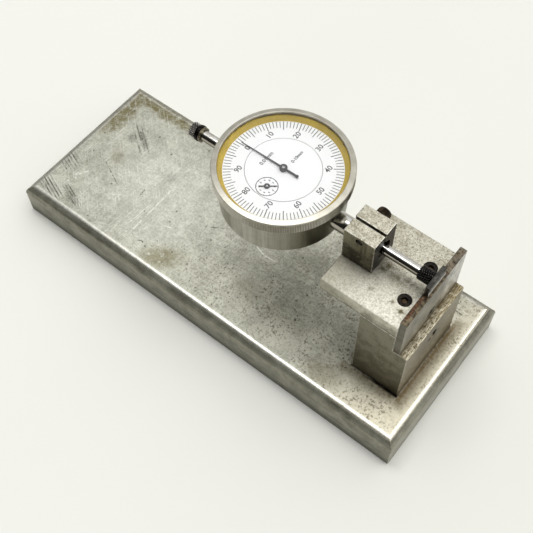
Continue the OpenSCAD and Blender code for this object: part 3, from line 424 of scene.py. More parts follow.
riser_finish, place, facing, colour = sawn_block(
    "riser_finish", (206, 198, 176), (148, 136, 108), (136, 133, 117), (100, 94, 77),
    riser_lo.z, riser_hi.z - riser_lo.z)
x, y, z = place.axes()
outward = facing.along(0)
patchy = place.grain(2.2 * MM, 4.0, 0.65)
colour = (outward * 0.75).tint(colour, patchy.smooth(0.38, 0.62).tint((122, 114, 97), (156, 148, 131)))
fingered = abs(y + 2 * MM).ramp(13, 4) * z.ramp(26, 38)
colour = (fingered * outward * 0.5).tint(colour, (84, 76, 61))
ledge = abs(z - fence_lo.z).ramp(0.7, 0.3) * x.smooth(fence_hi.x - 0.6 * MM, fence_hi.x)
torn = place.laid(0.0, (0.3 * MM, 2.6 * MM, 1)).grain(1.0, 3.0, 0.65)
far = y.ramp(-6, 12) * patchy.smooth(0.36, 0.56)
holes = place.dots(1.3, 0.34, 0.4).top(place.dots(2.6, 0.6, 0.3))
torn_colour = torn.smooth(0.38, 0.6).tint((104, 92, 62), (220, 213, 192))
torn_colour = (far * 0.55).tint(torn_colour, (120, 103, 60))
# Dirt, and painted shade in the corner, darken the ledge next to the fence's foot.
oily = x.smooth(fence_hi.x + 2.6 * MM, fence_hi.x + 0.4 * MM) * patchy.smooth(0.32, 0.56)
torn_colour = (oily * 0.65).tint(torn_colour, (84, 72, 46))
colour = ledge.tint(colour, (holes * 0.8).tint(torn_colour, (62, 50, 32)))
# Brown dirt along the outer face's foot, and a painted shadow: a black line at the foot of the other faces.
rise = riser_lo.z + (1.0 + 5.0 * outward) * MM
foot_dirt_and_shadow = (z - rise).ramp(0.6, -0.6) * patchy.smooth(0.3, 0.55)
colour = (foot_dirt_and_shadow * outward * 0.6).tint(colour, (108, 90, 62))
(foot_dirt_and_shadow * (1.0 - outward) * 0.9).tint(colour, (34, 30, 22)).feeds("Base Color")
stand_block("riser_body", "riser_block", 0.4 * MM, riser_finish, "block_aluminium")


# Cap screws: steel, blackened in hot oxide, holding the riser, the plate and the clamp. Oil and age
# have left brown dirt in the sockets.
plate_lo, plate_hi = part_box("top_plate")
oxide, place, _ = begin("black_oxide_finish", 1.0)
_, y, z = place.axes()
grime = place.grain(1.4 * MM, 4.0, 0.65)
worn = place.grain(0.5 * MM, 3.0, 0.7).smooth(0.58, 0.75)
colour = grime.smooth(0.35, 0.7).tint((28, 27, 27), (52, 47, 41))
socket = z.smooth(plate_hi.z - 0.15 * MM, plate_hi.z - 0.7 * MM) * z.smooth(plate_lo.z, plate_lo.z + MM)
colour = (socket * 0.9).tint(colour, grime.mottle((54, 45, 36), (98, 82, 64)))
head = y.ramp(6, 8) * z.smooth(plate_hi.z + 8 * MM, plate_hi.z + 10 * MM)
colour = (head * grime.smooth(0.4, 0.6) * 0.35).tint(colour, (84, 66, 46))
(worn * 0.35).tint(colour, (104, 98, 90)).feeds("Base Color")
(0.26 + 0.3 * grime).feeds("Roughness")
grime.bump(0.1, 0.1)


def clad(finish, *nodes):
    """Gives a finish to CAD nodes that are shown as they are."""
    for node in nodes:
        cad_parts[node].material_slots[0].material = finish


clad(oxide, "riser_screws", "clamp_mount_screws", "fence_screw", "clamp_screw")
piece("plate_screw_heads", eased("top_plate_screws", 0.22 * MM, 0.2 * MM), oxide, "stand", "black_oxide",
      "top_plate_screws")


# Top plate: a piece of aluminium bar that bridges from the riser towards the dial, with its two screws
# sunk flush in its upper face. Oil has run from the clamp and from the screws.
plate_finish, place, facing, colour = sawn_block(
    "top_plate_finish", (204, 201, 188), (142, 137, 119), (206, 203, 188), (142, 138, 123), plate_lo.z,
    plate_hi.z - plate_lo.z)
x, y, z = place.axes()
upward = facing.along(2)
flecked = place.grain(0.9 * MM, 3.0, 0.7).smooth(0.36, 0.6).tint((182, 179, 164), (232, 230, 220))
colour = (y.ramp(2, -19) * upward * 0.65).tint(colour, flecked)
colour = (x.ramp(72, 56) * 0.5).tint(colour, (144, 140, 121))
oily = place.grain(1.9 * MM, 4.0, 0.65).smooth(0.36, 0.6)
spill = (place.patch(71, -1, 5, 4.5, 25) * 0.9).top(place.patch(80, -2, 10, 4, 10) * 0.7)
spill = spill.top(place.patch(86.6, -14, 3, 1.8, 30)).top(place.patch(81.6, -12.9, 2.4, 1.3, 60) * 0.8)
spill = spill.top(place.patch(72.5, -12.6, 3, 1.4, 20) * 0.5).top(place.patch(89.5, -1, 2, 3.5))
colour = (spill * oily * upward).tint(colour, (92, 84, 60))
shade = z.smooth(plate_lo.z + 1.2 * MM, plate_lo.z + 0.2 * MM) * (1.0 - upward)
(shade * 0.7).tint(colour, (60, 57, 46)).feeds("Base Color")
stand_block("plate_body", "top_plate", 0.35 * MM, plate_finish, "block_aluminium")


# Fence: a ground steel strip in the step of the riser, held by one countersunk screw. Its top edge has
# rusted, most of all at the front, where the work is pushed over it.
steel, place, facing = begin("fence_steel_finish", 1.0)
x, y, z = place.axes()
upward = facing.along(2)
edge = place.broken_edges()
ground = place.laid(0.0, (1, 30, 1)).grain(0.5 * MM, 2.0)
blotch = place.grain(4 * MM, 4.0, 0.62)
# Painted sheen: the far part of the strip is painted paler.
painted_sheen = y.ramp(4, 10)
colour = (0.4 * ground + 0.6 * blotch).smooth(0.38, 0.62).tint((92, 89, 79), (146, 142, 130))
# Painted shade: the faces that look to the front are painted darker.
colour = (facing.axes()[1].smooth(-0.7, -0.95) * 0.6).tint(colour, (92, 90, 78))
colour = (painted_sheen * blotch.smooth(0.3, 0.5) * 0.7).tint(colour, (208, 206, 200))
flaked = place.grain(1.8 * MM, 5.0, 0.68)
smoky = abs(y - 5 * MM).ramp(11, 2) * z.smooth(fence_hi.z - 13 * MM, fence_hi.z - 3 * MM)
colour = (smoky * flaked.smooth(0.35, 0.6) * 0.6).tint(colour, (72, 70, 64))
crumbly = place.grain(1.0 * MM, 4.0, 0.65).smooth(0.38, 0.6)
colour = (upward * 0.85).tint(colour, crumbly.tint((46, 38, 28), (112, 99, 77)))
front = y.ramp(-5, -8) * y.ramp(-19.5, -17.5)
inner = x.smooth(fence_hi.x - 1.2 * MM, fence_hi.x - 1.9 * MM)
near_top = z.smooth(fence_hi.z - 0.9 * MM, fence_hi.z - 0.2 * MM)
near_foot = z.smooth(fence_lo.z + 1.8 * MM, fence_lo.z + 0.4 * MM)
rust = near_top * (flaked + 0.26 * front * inner - 0.08 * front).smooth(0.54, 0.64)
rust = rust.top(near_foot * flaked.smooth(0.4, 0.54) * 0.8)
rust_colour = place.grain(0.8 * MM, 3.0).smooth(0.38, 0.62).tint((46, 28, 15), (112, 68, 32))
# Edges painted paler, for wear and a painted highlight.
colour = (edge * (1.0 - near_top) * 0.4).tint(colour, (190, 187, 180))
# Dirt, and painted shade in the corner, darken the outer face towards its foot by the ledge.
dirt_and_shade_at_foot = z.smooth(fence_lo.z + 5 * MM, fence_lo.z + 0.8 * MM) * blotch.smooth(0.3, 0.55)
colour = (dirt_and_shade_at_foot * 0.7).tint(colour, (76, 68, 50))
# Painted shadow: the inner top edge under the blade is painted nearly black, with no rust there.
painted_blade_shadow = near_top * x.smooth(fence_lo.x + 1.0 * MM, fence_lo.x + 0.4 * MM)
painted_blade_shadow = painted_blade_shadow * abs(y).ramp(8.5, 6.5)
rust = rust * (1.0 - painted_blade_shadow)
colour = (painted_blade_shadow * 0.9).tint(colour, (30, 24, 18))
(rust * 0.92).tint(colour, rust_colour).feeds("Base Color")
(1.0 - 0.85 * rust).feeds("Metallic")
(0.3 + 0.15 * blotch + 0.35 * rust).feeds("Roughness")
(ground * 0.4 + blotch * 0.3 + flaked * 0.3 + rust * place.grain(0.6 * MM)).bump(0.15, 0.2)
stand_block("fence_strip", "fence_plate", 0.3 * MM, steel, "fence_steel")


# Clamp block: aluminium, bored for the stem and slit above it, held from below the plate. A cross screw
# closes the slit; its knurled head stands on the far side.
clamp_lo, clamp_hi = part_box("clamp_block")
clamp_finish, place, facing, colour = sawn_block(
    "clamp_block_finish", (202, 199, 184), (140, 135, 117), (124, 119, 98), (54, 49, 36),
    clamp_lo.z, clamp_hi.z - clamp_lo.z)
runs = place.laid(0.0, (1, 1, 14)).grain(1.4 * MM, 3.0, 0.6)
darkened = runs.smooth(0.48, 0.66) * (1.0 - facing.along(2))
colour = (darkened * 0.45).tint(colour, (52, 46, 32))
# Painted shade: the right face is painted nearly black.
colour = (facing.along(0) * 0.95).tint(colour, (12, 11, 8))
# Painted shadow: a black line along the foot, for the shadow in the joint with the plate.
foot = place.axes()[2].smooth(clamp_lo.z + 0.9 * MM, clamp_lo.z + 0.3 * MM)
(foot * 0.85).tint(colour, (22, 20, 14)).feeds("Base Color")
stand_block("clamp_body", "clamp_block", 0.4 * MM, clamp_finish, "block_aluminium")


def new_tree(name, **sizes):
    """An empty Geometry Nodes tree with named inputs, and a wire for each of them."""
    tree = bpy.data.node_groups.new(name, "GeometryNodeTree")
    tree.interface.new_socket("Geometry", in_out="OUTPUT", socket_type="NodeSocketGeometry")
    for label, kind in sizes.items():
        tree.interface.new_socket(label, in_out="INPUT", socket_type="NodeSocket" + kind)
    source = tree.nodes.new("NodeGroupInput")
    return tree, [Wire(tree, source.outputs[label]) for label in sizes]


def close_tree(points, shape, turn, scale, finish):
    """Ends a tree: the shape on each point, made real, with its material."""
    turned_to = points.node("FunctionNodeEulerToRotation", None, {0: turn})
    rows = points.node("GeometryNodeInstanceOnPoints", None,
                       {"Points": points, "Instance": shape, "Rotation": turned_to, "Scale": scale})
    real = rows.node("GeometryNodeRealizeInstances", None, {0: rows})
    done = real.node("GeometryNodeSetMaterial", None, {"Geometry": real, "Material": finish})
    end = done.tree.nodes.new("NodeGroupOutput")
    done.tree.links.new(done.socket, end.inputs[0])


def grown(tree, **values):
    """Runs a tree with these values and returns its plain mesh."""
    draft = bpy.data.objects.new(tree.name, bpy.data.meshes.new(tree.name))
    run = draft.modifiers.new(tree.name, "NODES")
    run.node_group = tree
    for item in tree.interface.items_tree:
        if item.in_out == "INPUT":
            run[item.identifier] = values[item.name]
    return baked(draft)


def add_mesh(shape, mesh, place=Matrix.Identity(4)):
    """Adds a mesh to a shape in the making, at its place."""
    mesh.transform(place)
    shape.from_mesh(mesh)
    bpy.data.meshes.remove(mesh)


def round_points(number, radius, angle, height=0.0):
    """That many points round Z, each at its own angle."""
    spot = angle.vector(radius * angle.maths("COSINE"), radius * angle.maths("SINE"), height)
    return angle.node("GeometryNodePoints", None, {"Count": number, "Position": spot})


# Straight knurl: square ribs set on edge round an axis, half sunk, so that ridges stand out.
HEAD_RIBS = 40
HEAD_RIB = 0.26 * MM
HEAD_RIBBED = 0.72
SUNK = 0.02 * MM
ribs, (count, radius, width, length, finish) = new_tree(
    "straight_knurl", Count="Int", Radius="Float", Width="Float", Length="Float", Finish="Material")
index = count.node("GeometryNodeInputIndex")
angle = index * math.tau / count
spots = round_points(count, radius, angle)
rib = count.node("GeometryNodeMeshCube", None, {"Size": count.vector(width, width, length)})
close_tree(spots, rib, count.vector(0.0, 0.0, angle + math.pi / 4), (1, 1, 1), finish)

screw_lo, screw_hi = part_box("clamp_screw")
head_r = (screw_hi.x - screw_lo.x) / 2
head_mid = (screw_lo + screw_hi) / 2
head_mid.y = (clamp_hi.y + screw_hi.y) / 2
head_ribs = bmesh.new()
add_mesh(head_ribs, grown(ribs, Count=HEAD_RIBS, Radius=head_r - SUNK, Width=HEAD_RIB,
                          Length=HEAD_RIBBED * (screw_hi.y - clamp_hi.y), Finish=oxide),
         Matrix.Translation(head_mid) @ Matrix.Rotation(math.radians(90), 4, "X"))
piece("clamp_screw_knurl", head_ribs, oxide, "clamp_bolt", "black_oxide", smooth=FLAT)


# Case: a turned and nickel plated cup, satin outside with upright streaks, closed by a flat back cover
# let into it on four small screws.
STREAK_R = 26 * MM
case_lo, case_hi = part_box("case_body")
dial_mid = (case_lo + case_hi) / 2
nickel, place, _ = begin("satin_nickel", 1.0)
x, y, z = place.laid(0.0, (1, 1, 1), (dial_mid.x, dial_mid.y, 0)).axes()
around = x.vector(x.maths("ARCTAN2", y, x) * STREAK_R, z * 0.02, 0.0)
streak = around.grain(0.6 * MM, 3.0, 0.6)
band = around.grain(5 * MM, 2.0)
haze = place.grain(3 * MM, 4.0, 0.6)
upright = (0.35 * streak + 0.45 * band + 0.2 * haze).smooth(0.3, 0.7)
colour = upright.tint((122, 120, 106), (174, 172, 158))
# Painted shade and reflection: the side towards the stem is painted darker and olive.
(x.ramp(2, 24) * 0.55).tint(colour, (94, 91, 74)).feeds("Base Color")
(0.24 + 0.12 * streak + 0.08 * haze).feeds("Roughness")
(streak * 0.6 + haze * 0.4).bump(0.06, 0.1)
piece("case_shell", eased("case_body", 0.2 * MM, 1.0 * MM), nickel, "indicator", "case_nickel", "case_body")
clad(nickel, "back_cover")


# Stem, rear bushing and spindle: ground steel rods, hard chromed and bright, with the finest turning
# lines round them. The spindle slides through the other two. Their end faces are painted dark as
# painted shade, and the rods are painted darker on their sides and underneath as painted reflection.
chrome, place, facing = begin("bright_chrome", 1.0)
rings = place.laid(0.0, (1, 30, 30)).grain(0.25 * MM, 2.0)
smear = place.grain(3 * MM, 4.0, 0.6)
colour = smear.mottle((196, 194, 188), (222, 221, 217))
# Painted shade: the end faces are painted dark, for the stem's end deep in the clamp's bore.
darkened = abs(facing.axes()[0]).smooth(0.8, 0.95)
# Painted reflection: the rods are painted darker on their sides and darker still underneath.
colour = (facing.axes()[2].smooth(0.93, 0.7) * 0.7).tint(colour, (146, 138, 120))
colour = (facing.axes()[2].smooth(0.3, 0.0) * 0.7).tint(colour, (74, 70, 62))
(darkened * 0.9).tint(colour, (48, 44, 38)).feeds("Base Color")
(0.05 + 0.06 * rings + 0.05 * smear).feeds("Roughness")
rings.bump(0.03, 0.05)
clad(chrome, "stem", "rear_bushing", "spindle")


# Movement: brass plates, wheels and pillars with a fine grained finish, and small steel pins, arbors,
# screws and springs between them. It is hidden once the dial is on.
brass, place, _ = begin("grained_brass", 1.0)
grained = place.laid(math.radians(20), (12, 1, 1)).grain(0.4 * MM, 3.0)
tarnish = place.grain(5 * MM, 4.0)
(0.5 * grained + 0.5 * tarnish).mottle((170, 130, 66), (222, 188, 112)).feeds("Base Color")
(0.25 + 0.2 * grained).feeds("Roughness")
grained.bump(0.05, 0.05)
small_steel, place, _ = begin("polished_steel", 1.0)
lathed = place.laid(0.0, (4, 4, 1)).grain(0.3 * MM, 2.0)
lathed.mottle((165, 166, 168), (205, 205, 206)).feeds("Base Color")
(0.18 + 0.15 * lathed).feeds("Roughness")
lathed.bump(0.04, 0.05)
clad(brass, "main_plate", "upper_plate", "pillars", "lower_cock", "guide_rail", "rack_wheel", "counter_wheel",
     "hairspring_collet")
clad(small_steel, "back_cover_screws", "movement_screws", "spring_post", "return_spring", "hairspring",
     "guide_pin", "rack_arbor", "centre_arbor", "counter_arbor", "bezel_ring")


# Bezel: a turned nickel plated ring with a rounded rim, and below it a band of fine straight knurl for
# the fingers. A snap ring in its groove holds it to the case, and it turns to set zero.
bezel_lo, bezel_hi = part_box("bezel")
crystal_lo, crystal_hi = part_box("crystal")
snap_lo, snap_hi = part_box("bezel_ring")
TURN_GAP = 0.1 * MM
BEZEL_RIB = 0.42 * MM
BEZEL_RIBS = 280
RIM_SLOPE = 78
RIM_ROUND = 0.45 * MM
RIM_DROP = 0.9 * MM
LIP_WIDTH = 2.5 * MM
LIP_ROUND = 0.28 * MM
LIP_IN = 0.29 * MM
LIP_DROP = 0.32 * MM
ROUND_STEPS = 256
bezel_r = (bezel_hi.x - bezel_lo.x) / 2
bore_r = (crystal_hi.x - crystal_lo.x) / 2
snap_r = (snap_hi.x - snap_lo.x) / 2 + TURN_GAP
lip_r = bezel_r - LIP_WIDTH
band_r = bezel_r - BEZEL_RIB / math.sqrt(2)
band_top = bezel_hi.z - 1.0 * MM
band_foot = bezel_lo.z + 0.3 * MM


def turned(profile, place, steps, ring=False):
    """A turned shape: (radius, height) points carried round Z and put in place. A ring has a bore."""
    shape = bmesh.new()
    turns = [math.tau * i / steps for i in range(steps)]
    hoops = [[shape.verts.new((r * math.cos(a), r * math.sin(a), h)) for a in turns] if r
             else [shape.verts.new((0, 0, h))] for r, h in profile]
    for low, high in zip(hoops, hoops[1:] + (hoops[:1] if ring else [])):
        for i in range(steps):
            corners = [low[i % len(low)], low[(i + 1) % steps % len(low)],
                       high[(i + 1) % steps % len(high)], high[i % len(high)]]
            shape.faces.new(list(dict.fromkeys(corners)))
    bmesh.ops.recalc_face_normals(shape, faces=shape.faces[:])
    shape.transform(place)
    return shape


def rounded(cx, cy, r, start, end, steps=6):
    """Points of a round corner of a profile, from one angle to another in degrees."""
    turns = [math.radians(start + (end - start) * i / steps) for i in range(steps + 1)]
    return [(cx + r * math.cos(a), cy + r * math.sin(a)) for a in turns]


on_dial = Matrix.Translation((dial_mid.x, dial_mid.y, 0))
rim = turned(
    [(bore_r, bezel_lo.z), (band_r - 0.3 * MM, bezel_lo.z), (band_r, bezel_lo.z + 0.2 * MM),
     (band_r, band_top)]
    + rounded(bezel_r - RIM_ROUND, bezel_hi.z - RIM_DROP, RIM_ROUND, 0, RIM_SLOPE)
    + rounded(lip_r + LIP_IN, bezel_hi.z - LIP_DROP, LIP_ROUND, RIM_SLOPE, 180)
    + [(lip_r, crystal_hi.z), (bore_r, crystal_hi.z), (bore_r, snap_hi.z + TURN_GAP),
       (snap_r, snap_hi.z + TURN_GAP), (snap_r, snap_lo.z - TURN_GAP), (bore_r, snap_lo.z - TURN_GAP)],
    on_dial, ROUND_STEPS, ring=True)
rim_finish, place, _ = begin("satin_nickel_rim", 1.0)
x, y, z = place.laid(0.0, (1, 1, 1), (dial_mid.x, dial_mid.y, 0)).axes()
out = (x * x + y * y).maths("SQRT")
hoops = x.vector(out, z, 0.0).grain(0.18 * MM, 2.0)
haze = place.grain(4 * MM, 4.0, 0.6)
colour = (0.5 * hoops + 0.5 * haze).mottle((168, 164, 151), (206, 203, 192))
groove = out.smooth(bezel_r - 0.08 * MM, band_r + 0.03 * MM)
groove = groove * z.smooth(band_top + 0.1 * MM, band_top - 0.1 * MM) * out.smooth(lip_r, bore_r + 0.5 * MM)
(groove * 0.6).tint(colour, (92, 88, 74)).feeds("Base Color")
(0.28 + 0.12 * hoops + 0.08 * haze).feeds("Roughness")
hoops.bump(0.05, 0.05)
add_mesh(rim, grown(ribs, Count=BEZEL_RIBS, Radius=band_r, Width=BEZEL_RIB, Length=band_top - band_foot,
                    Finish=rim_finish),
         Matrix.Translation((dial_mid.x, dial_mid.y, (band_top + band_foot) / 2)))
piece("bezel_rim", rim, rim_finish, "bezel_group", "case_nickel", "bezel")


# Spacer ring: a gold coloured conical ring that keeps the crystal off the dial.
gold, place, _ = begin("gold_spacer", 0.0, Specular_IOR_Level=0.15)
flecks = place.grain(0.8 * MM, 3.0)
wash = place.grain(9 * MM, 3.0)
(0.4 * flecks + 0.6 * wash).mottle((178, 149, 10), (206, 175, 30)).feeds("Base Color")
(0.38 + 0.2 * flecks).feeds("Roughness")
clad(gold, "spacer_ring")


# Crystal: a clear moulded disc, snapped in under the bezel's lip, a little smudged by fingers.
clear, place, _ = begin("clear_crystal", 0.0, IOR=1.49)
smudge = place.grain(12 * MM, 3.0)
smudge.smooth(0.2, 0.8).tint((236, 240, 240), (250, 251, 250)).feeds("Base Color")
(0.03 + 0.06 * smudge).feeds("Roughness")
(0.03 + 0.03 * smudge).feeds("Alpha")
clad(clear, "crystal")


# Dial: a white enamelled scale ring that turns with the bezel, round a fixed white centre disc with the
# turn counter. The scale and its plain numbers are printed on in thin black ink.
ring_lo, ring_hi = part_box("dial_ring")
disc_lo, disc_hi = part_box("centre_disc")
hand_lo, hand_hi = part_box("counter_arbor")
counter_mid = (hand_lo + hand_hi) / 2
INK = 0.02 * MM
PRINT_WELD = WELD / 2
SCALE_R = 23.8 * MM
SCALE_TURN = math.radians(1.5)
TICK_SHORT = 3.1 * MM
TICK_LONG = 4.2 * MM
TICK_WIDTH = 0.28 * MM
NUMBER_R = 17.7 * MM
NUMBER_SIZE = 3.3 * MM
EDGE = 0.28 * MM
CENTRE_GAP = 0.03 * MM
RING_STEPS = 192
disc_r = (disc_hi.x - disc_lo.x) / 2
enamel, place, facing = begin("white_enamel", 0.0, Specular_IOR_Level=0.4)
clouded = place.grain(7 * MM, 4.0)
fine = place.grain(0.5 * MM, 3.0)
colour = (0.6 * clouded + 0.4 * fine).mottle((249, 250, 252), (252, 253, 255))
# Painted shade: the chamfer and walls at the gap round the centre disc are painted grey.
(facing.axes()[2].smooth(0.95, 0.8) * 0.5).tint(colour, (122, 122, 118)).feeds("Base Color")
(0.42 + 0.16 * fine).feeds("Roughness")
scale_ring = turned(
    [(disc_r + CENTRE_GAP, ring_lo.z), (bore_r, ring_lo.z), (bore_r, ring_hi.z),
     (disc_r + CENTRE_GAP + EDGE, ring_hi.z), (disc_r + CENTRE_GAP, ring_hi.z - EDGE)],
    on_dial, RING_STEPS, ring=True)
piece("scale_ring", scale_ring, enamel, "bezel_group", "dial_white", "dial_ring")
clad(enamel, "centre_disc")

ink, place, _ = begin("printing_ink", 0.0)
wash = place.grain(0.9 * MM, 3.0)
wash.mottle((28, 28, 30), (52, 52, 54)).feeds("Base Color")
(0.5 + 0.2 * wash).feeds("Roughness")

# Ticks: one thin bar for each division, longer at every so many.
ticks, (count, every, outer, short, long, width, high, finish) = new_tree(
    "scale_ticks", Count="Int", Every="Int", Outer="Float", Short="Float", Long="Float", Width="Float",
    Height="Float", Finish="Material")
index = count.node("GeometryNodeInputIndex")
angle = math.pi - index * math.tau / count
longer = (index % every).smooth(0.5, 0.4)
reach = short + (long - short) * longer
spots = round_points(count, outer - reach * 0.5, angle)
tick = count.node("GeometryNodeMeshCube", None, {"Size": (1, 1, 1)})
size = count.vector(reach, width * (1 + 0.2 * longer), high)
close_tree(spots, tick, count.vector(0.0, 0.0, angle), size, finish)

upright = Matrix.Rotation(math.radians(90), 4, "Z")


def lettering(shape, words, size, spot, weight=0.045 * MM):
    """Adds a plain number or range in thin ink to a shape, upright when the zero is at the top."""
    text = bpy.data.curves.new("number", "FONT")
    text.body = words
    text.size = size
    text.offset = weight
    text.extrude = INK / 2
    text.resolution_u = 3
    text.align_x = "CENTER"
    text.align_y = "CENTER"
    add_mesh(shape, baked(bpy.data.objects.new("number", text)), Matrix.Translation(spot) @ upright)


def on_face(middle, top, dx=0.0, dy=0.0):
    """A place for ink on a face, so far from its middle."""
    return Vector((middle.x + dx, middle.y + dy, top + INK / 2))


def printed(name, shape, body):
    """A finished print in ink."""
    bmesh.ops.remove_doubles(shape, verts=shape.verts[:], dist=PRINT_WELD)
    piece(name, shape, ink, body, "hand_black", smooth=FLAT)


scale_print = bmesh.new()
add_mesh(scale_print, grown(ticks, Count=100, Every=5, Outer=SCALE_R, Short=TICK_SHORT, Long=TICK_LONG,
                            Width=TICK_WIDTH, Height=INK, Finish=ink),
         Matrix.Translation(on_face(dial_mid, ring_hi.z)) @ Matrix.Rotation(SCALE_TURN, 4, "Z"))
for number in range(0, 100, 10):
    turn = math.pi - math.tau * number / 100 + SCALE_TURN
    lettering(scale_print, str(number), NUMBER_SIZE,
              on_face(dial_mid, ring_hi.z, NUMBER_R * math.cos(turn), NUMBER_R * math.sin(turn)))
printed("scale_print", scale_print, "bezel_group")

COUNTER_R = 4.35 * MM
COUNTER_NUMBER_R = 3.0 * MM
COUNTER_NUMBER_SIZE = 1.05 * MM
WORDS_WEIGHT = 0.05 * MM
COUNTER_TICK = 0.5 * MM
COUNTER_LONG = 0.6 * MM
COUNTER_WIDTH = 0.16 * MM
COUNTER_STEPS = 96
LINE = 0.15 * MM
counter_at = Matrix.Translation((counter_mid.x, counter_mid.y, disc_hi.z))
counter_print = turned([(COUNTER_R - LINE, 0), (COUNTER_R + LINE, 0), (COUNTER_R + LINE, INK),
                        (COUNTER_R - LINE, INK)], counter_at, COUNTER_STEPS, ring=True)
add_mesh(counter_print, grown(ticks, Count=10, Every=5, Outer=COUNTER_R, Short=COUNTER_TICK,
                              Long=COUNTER_LONG, Width=COUNTER_WIDTH, Height=INK, Finish=ink),
         Matrix.Translation(on_face(counter_mid, disc_hi.z)))
for number in range(10):
    turn = math.pi + math.tau * number / 10
    lettering(counter_print, str(number), COUNTER_NUMBER_SIZE,
              on_face(counter_mid, disc_hi.z, COUNTER_NUMBER_R * math.cos(turn),
                      COUNTER_NUMBER_R * math.sin(turn)))
for words, size, dx, dy in (("0.01mm", 2.3, -8.5, 0.1), ("0-10mm", 2.0, 0.65, 8.0)):
    lettering(counter_print, words, size * MM, on_face(dial_mid, disc_hi.z, dx * MM, dy * MM), WORDS_WEIGHT)
printed("counter_print", counter_print, "indicator")


# Hands: thin blackened steel, pressed on their arbors.
blued, place, _ = begin("blackened_hand", 0.3)
brushed = place.laid(0.0, (10, 1, 1)).grain(0.3 * MM, 3.0)
brushed.mottle((18, 18, 20), (44, 44, 46)).feeds("Base Color")
(0.35 + 0.2 * brushed).feeds("Roughness")
clad(blued, "pointer", "counter_hand")


# Lifting cap: black, diamond knurled behind a plain flange, screwed on the tail of the spindle over a dull
# bronze stop ring. The tips of the knurl are painted grey, for wear and a painted highlight.
cap_lo, cap_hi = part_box("lift_cap")
stop_lo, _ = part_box("stop_ring")
axis_z = (cap_lo.z + cap_hi.z) / 2
bronze, place, _ = begin("dull_bronze", 1.0)
tarnish = place.grain(0.8 * MM, 4.0, 0.6)
tarnish.mottle((78, 73, 60), (136, 129, 110)).feeds("Base Color")
(0.3 + 0.2 * tarnish).feeds("Roughness")
clad(bronze, "stop_ring")

# Diamond knurl: four-sided studs in staggered rows round an axis.
grips, (count, rows, radius, length, size, finish) = new_tree(
    "diamond_knurl", Count="Int", Rows="Int", Radius="Float", Length="Float", Size="Float", Finish="Material")
index = count.node("GeometryNodeInputIndex")
row = (index / count).maths("FLOOR")
angle = (index % count + 0.5 * (row % 2)) * math.tau / count
spots = round_points(count * rows, radius, angle, (row + 0.5) / rows * length)
stud = count.node("GeometryNodeMeshCone", None, {"Vertices": 4, "Side Segments": 1, "Fill Segments": 1,
                                                 "Radius Top": size * 0.15, "Radius Bottom": size,
                                                 "Depth": size * 0.8})
close_tree(spots, stud, count.vector(0.0, math.pi / 2, angle), (1, 1, 1), finish)


def worn_knurl(name, valley, tip, end):
    """Black oxide, painted grey at the tips of a knurl round the spindle's axis for wear and a painted
    highlight, up to an end along X.
    """
    finish, place, _ = begin(name, 1.0)
    x, y, z = place.axes()
    height = z - axis_z
    out = (y * y + height * height).maths("SQRT")
    grime = place.grain(0.8 * MM, 4.0, 0.65)
    black = grime.smooth(0.35, 0.7).tint((14, 14, 14), (34, 32, 30))
    # Wear and a painted highlight: the tips are painted grey.
    rubbed = out.smooth(valley, tip) * x.smooth(end, end - 0.2 * MM) * (0.5 + 0.5 * grime)
    rubbed.tint(black, (206, 203, 196)).feeds("Base Color")
    (0.26 + 0.2 * grime).feeds("Roughness")
    grime.bump(0.08, 0.08)
    return finish


FLANGE = 1.9 * MM
GRIP_R = 3.25 * MM
GRIP_DEEP = 0.3 * MM
GRIPS = 18
GRIP_ROWS = 6
GRIP_START = 0.15 * MM
GRIP_TRIM = 0.4 * MM
NECK = 0.25 * MM
FLANGE_ROUND = 0.45 * MM
STUD_R = 0.75 * MM
SMALL_STEPS = 64
cap_r = (cap_hi.y - cap_lo.y) / 2
cap_end = stop_lo.x - cap_lo.x
grip_end = cap_end - FLANGE
core_r = GRIP_R - GRIP_DEEP
grip_pitch = math.tau * core_r / GRIPS
along_spindle = Matrix.Rotation(math.radians(90), 4, "Y")
cap_at = Matrix.Translation((cap_lo.x, 0, axis_z)) @ along_spindle
cap = turned(
    [(0, 0), (core_r - GRIP_DEEP, 0), (core_r, GRIP_DEEP), (core_r, grip_end - NECK),
     (core_r - NECK, grip_end - 0.2 * MM), (core_r - NECK, grip_end)]
    + rounded(cap_r - FLANGE_ROUND, grip_end + FLANGE_ROUND, FLANGE_ROUND, -90, 0, 4)
    + rounded(cap_r - FLANGE_ROUND, cap_end - FLANGE_ROUND, FLANGE_ROUND, 0, 90, 4)
    + [(STUD_R, cap_end), (STUD_R, cap_hi.x - cap_lo.x), (0, cap_hi.x - cap_lo.x)],
    cap_at, SMALL_STEPS)
cap_finish = worn_knurl("cap_oxide", core_r + 0.06 * MM, core_r + GRIP_DEEP, cap_lo.x + grip_end)
add_mesh(cap, grown(grips, Count=GRIPS, Rows=GRIP_ROWS, Radius=core_r - SUNK,
                    Length=grip_end - GRIP_TRIM, Size=grip_pitch / 2, Finish=cap_finish),
         cap_at @ Matrix.Translation((0, 0, GRIP_START)))
piece("lift_cap_grip", cap, cap_finish, "plunger", "black_oxide", "lift_cap")


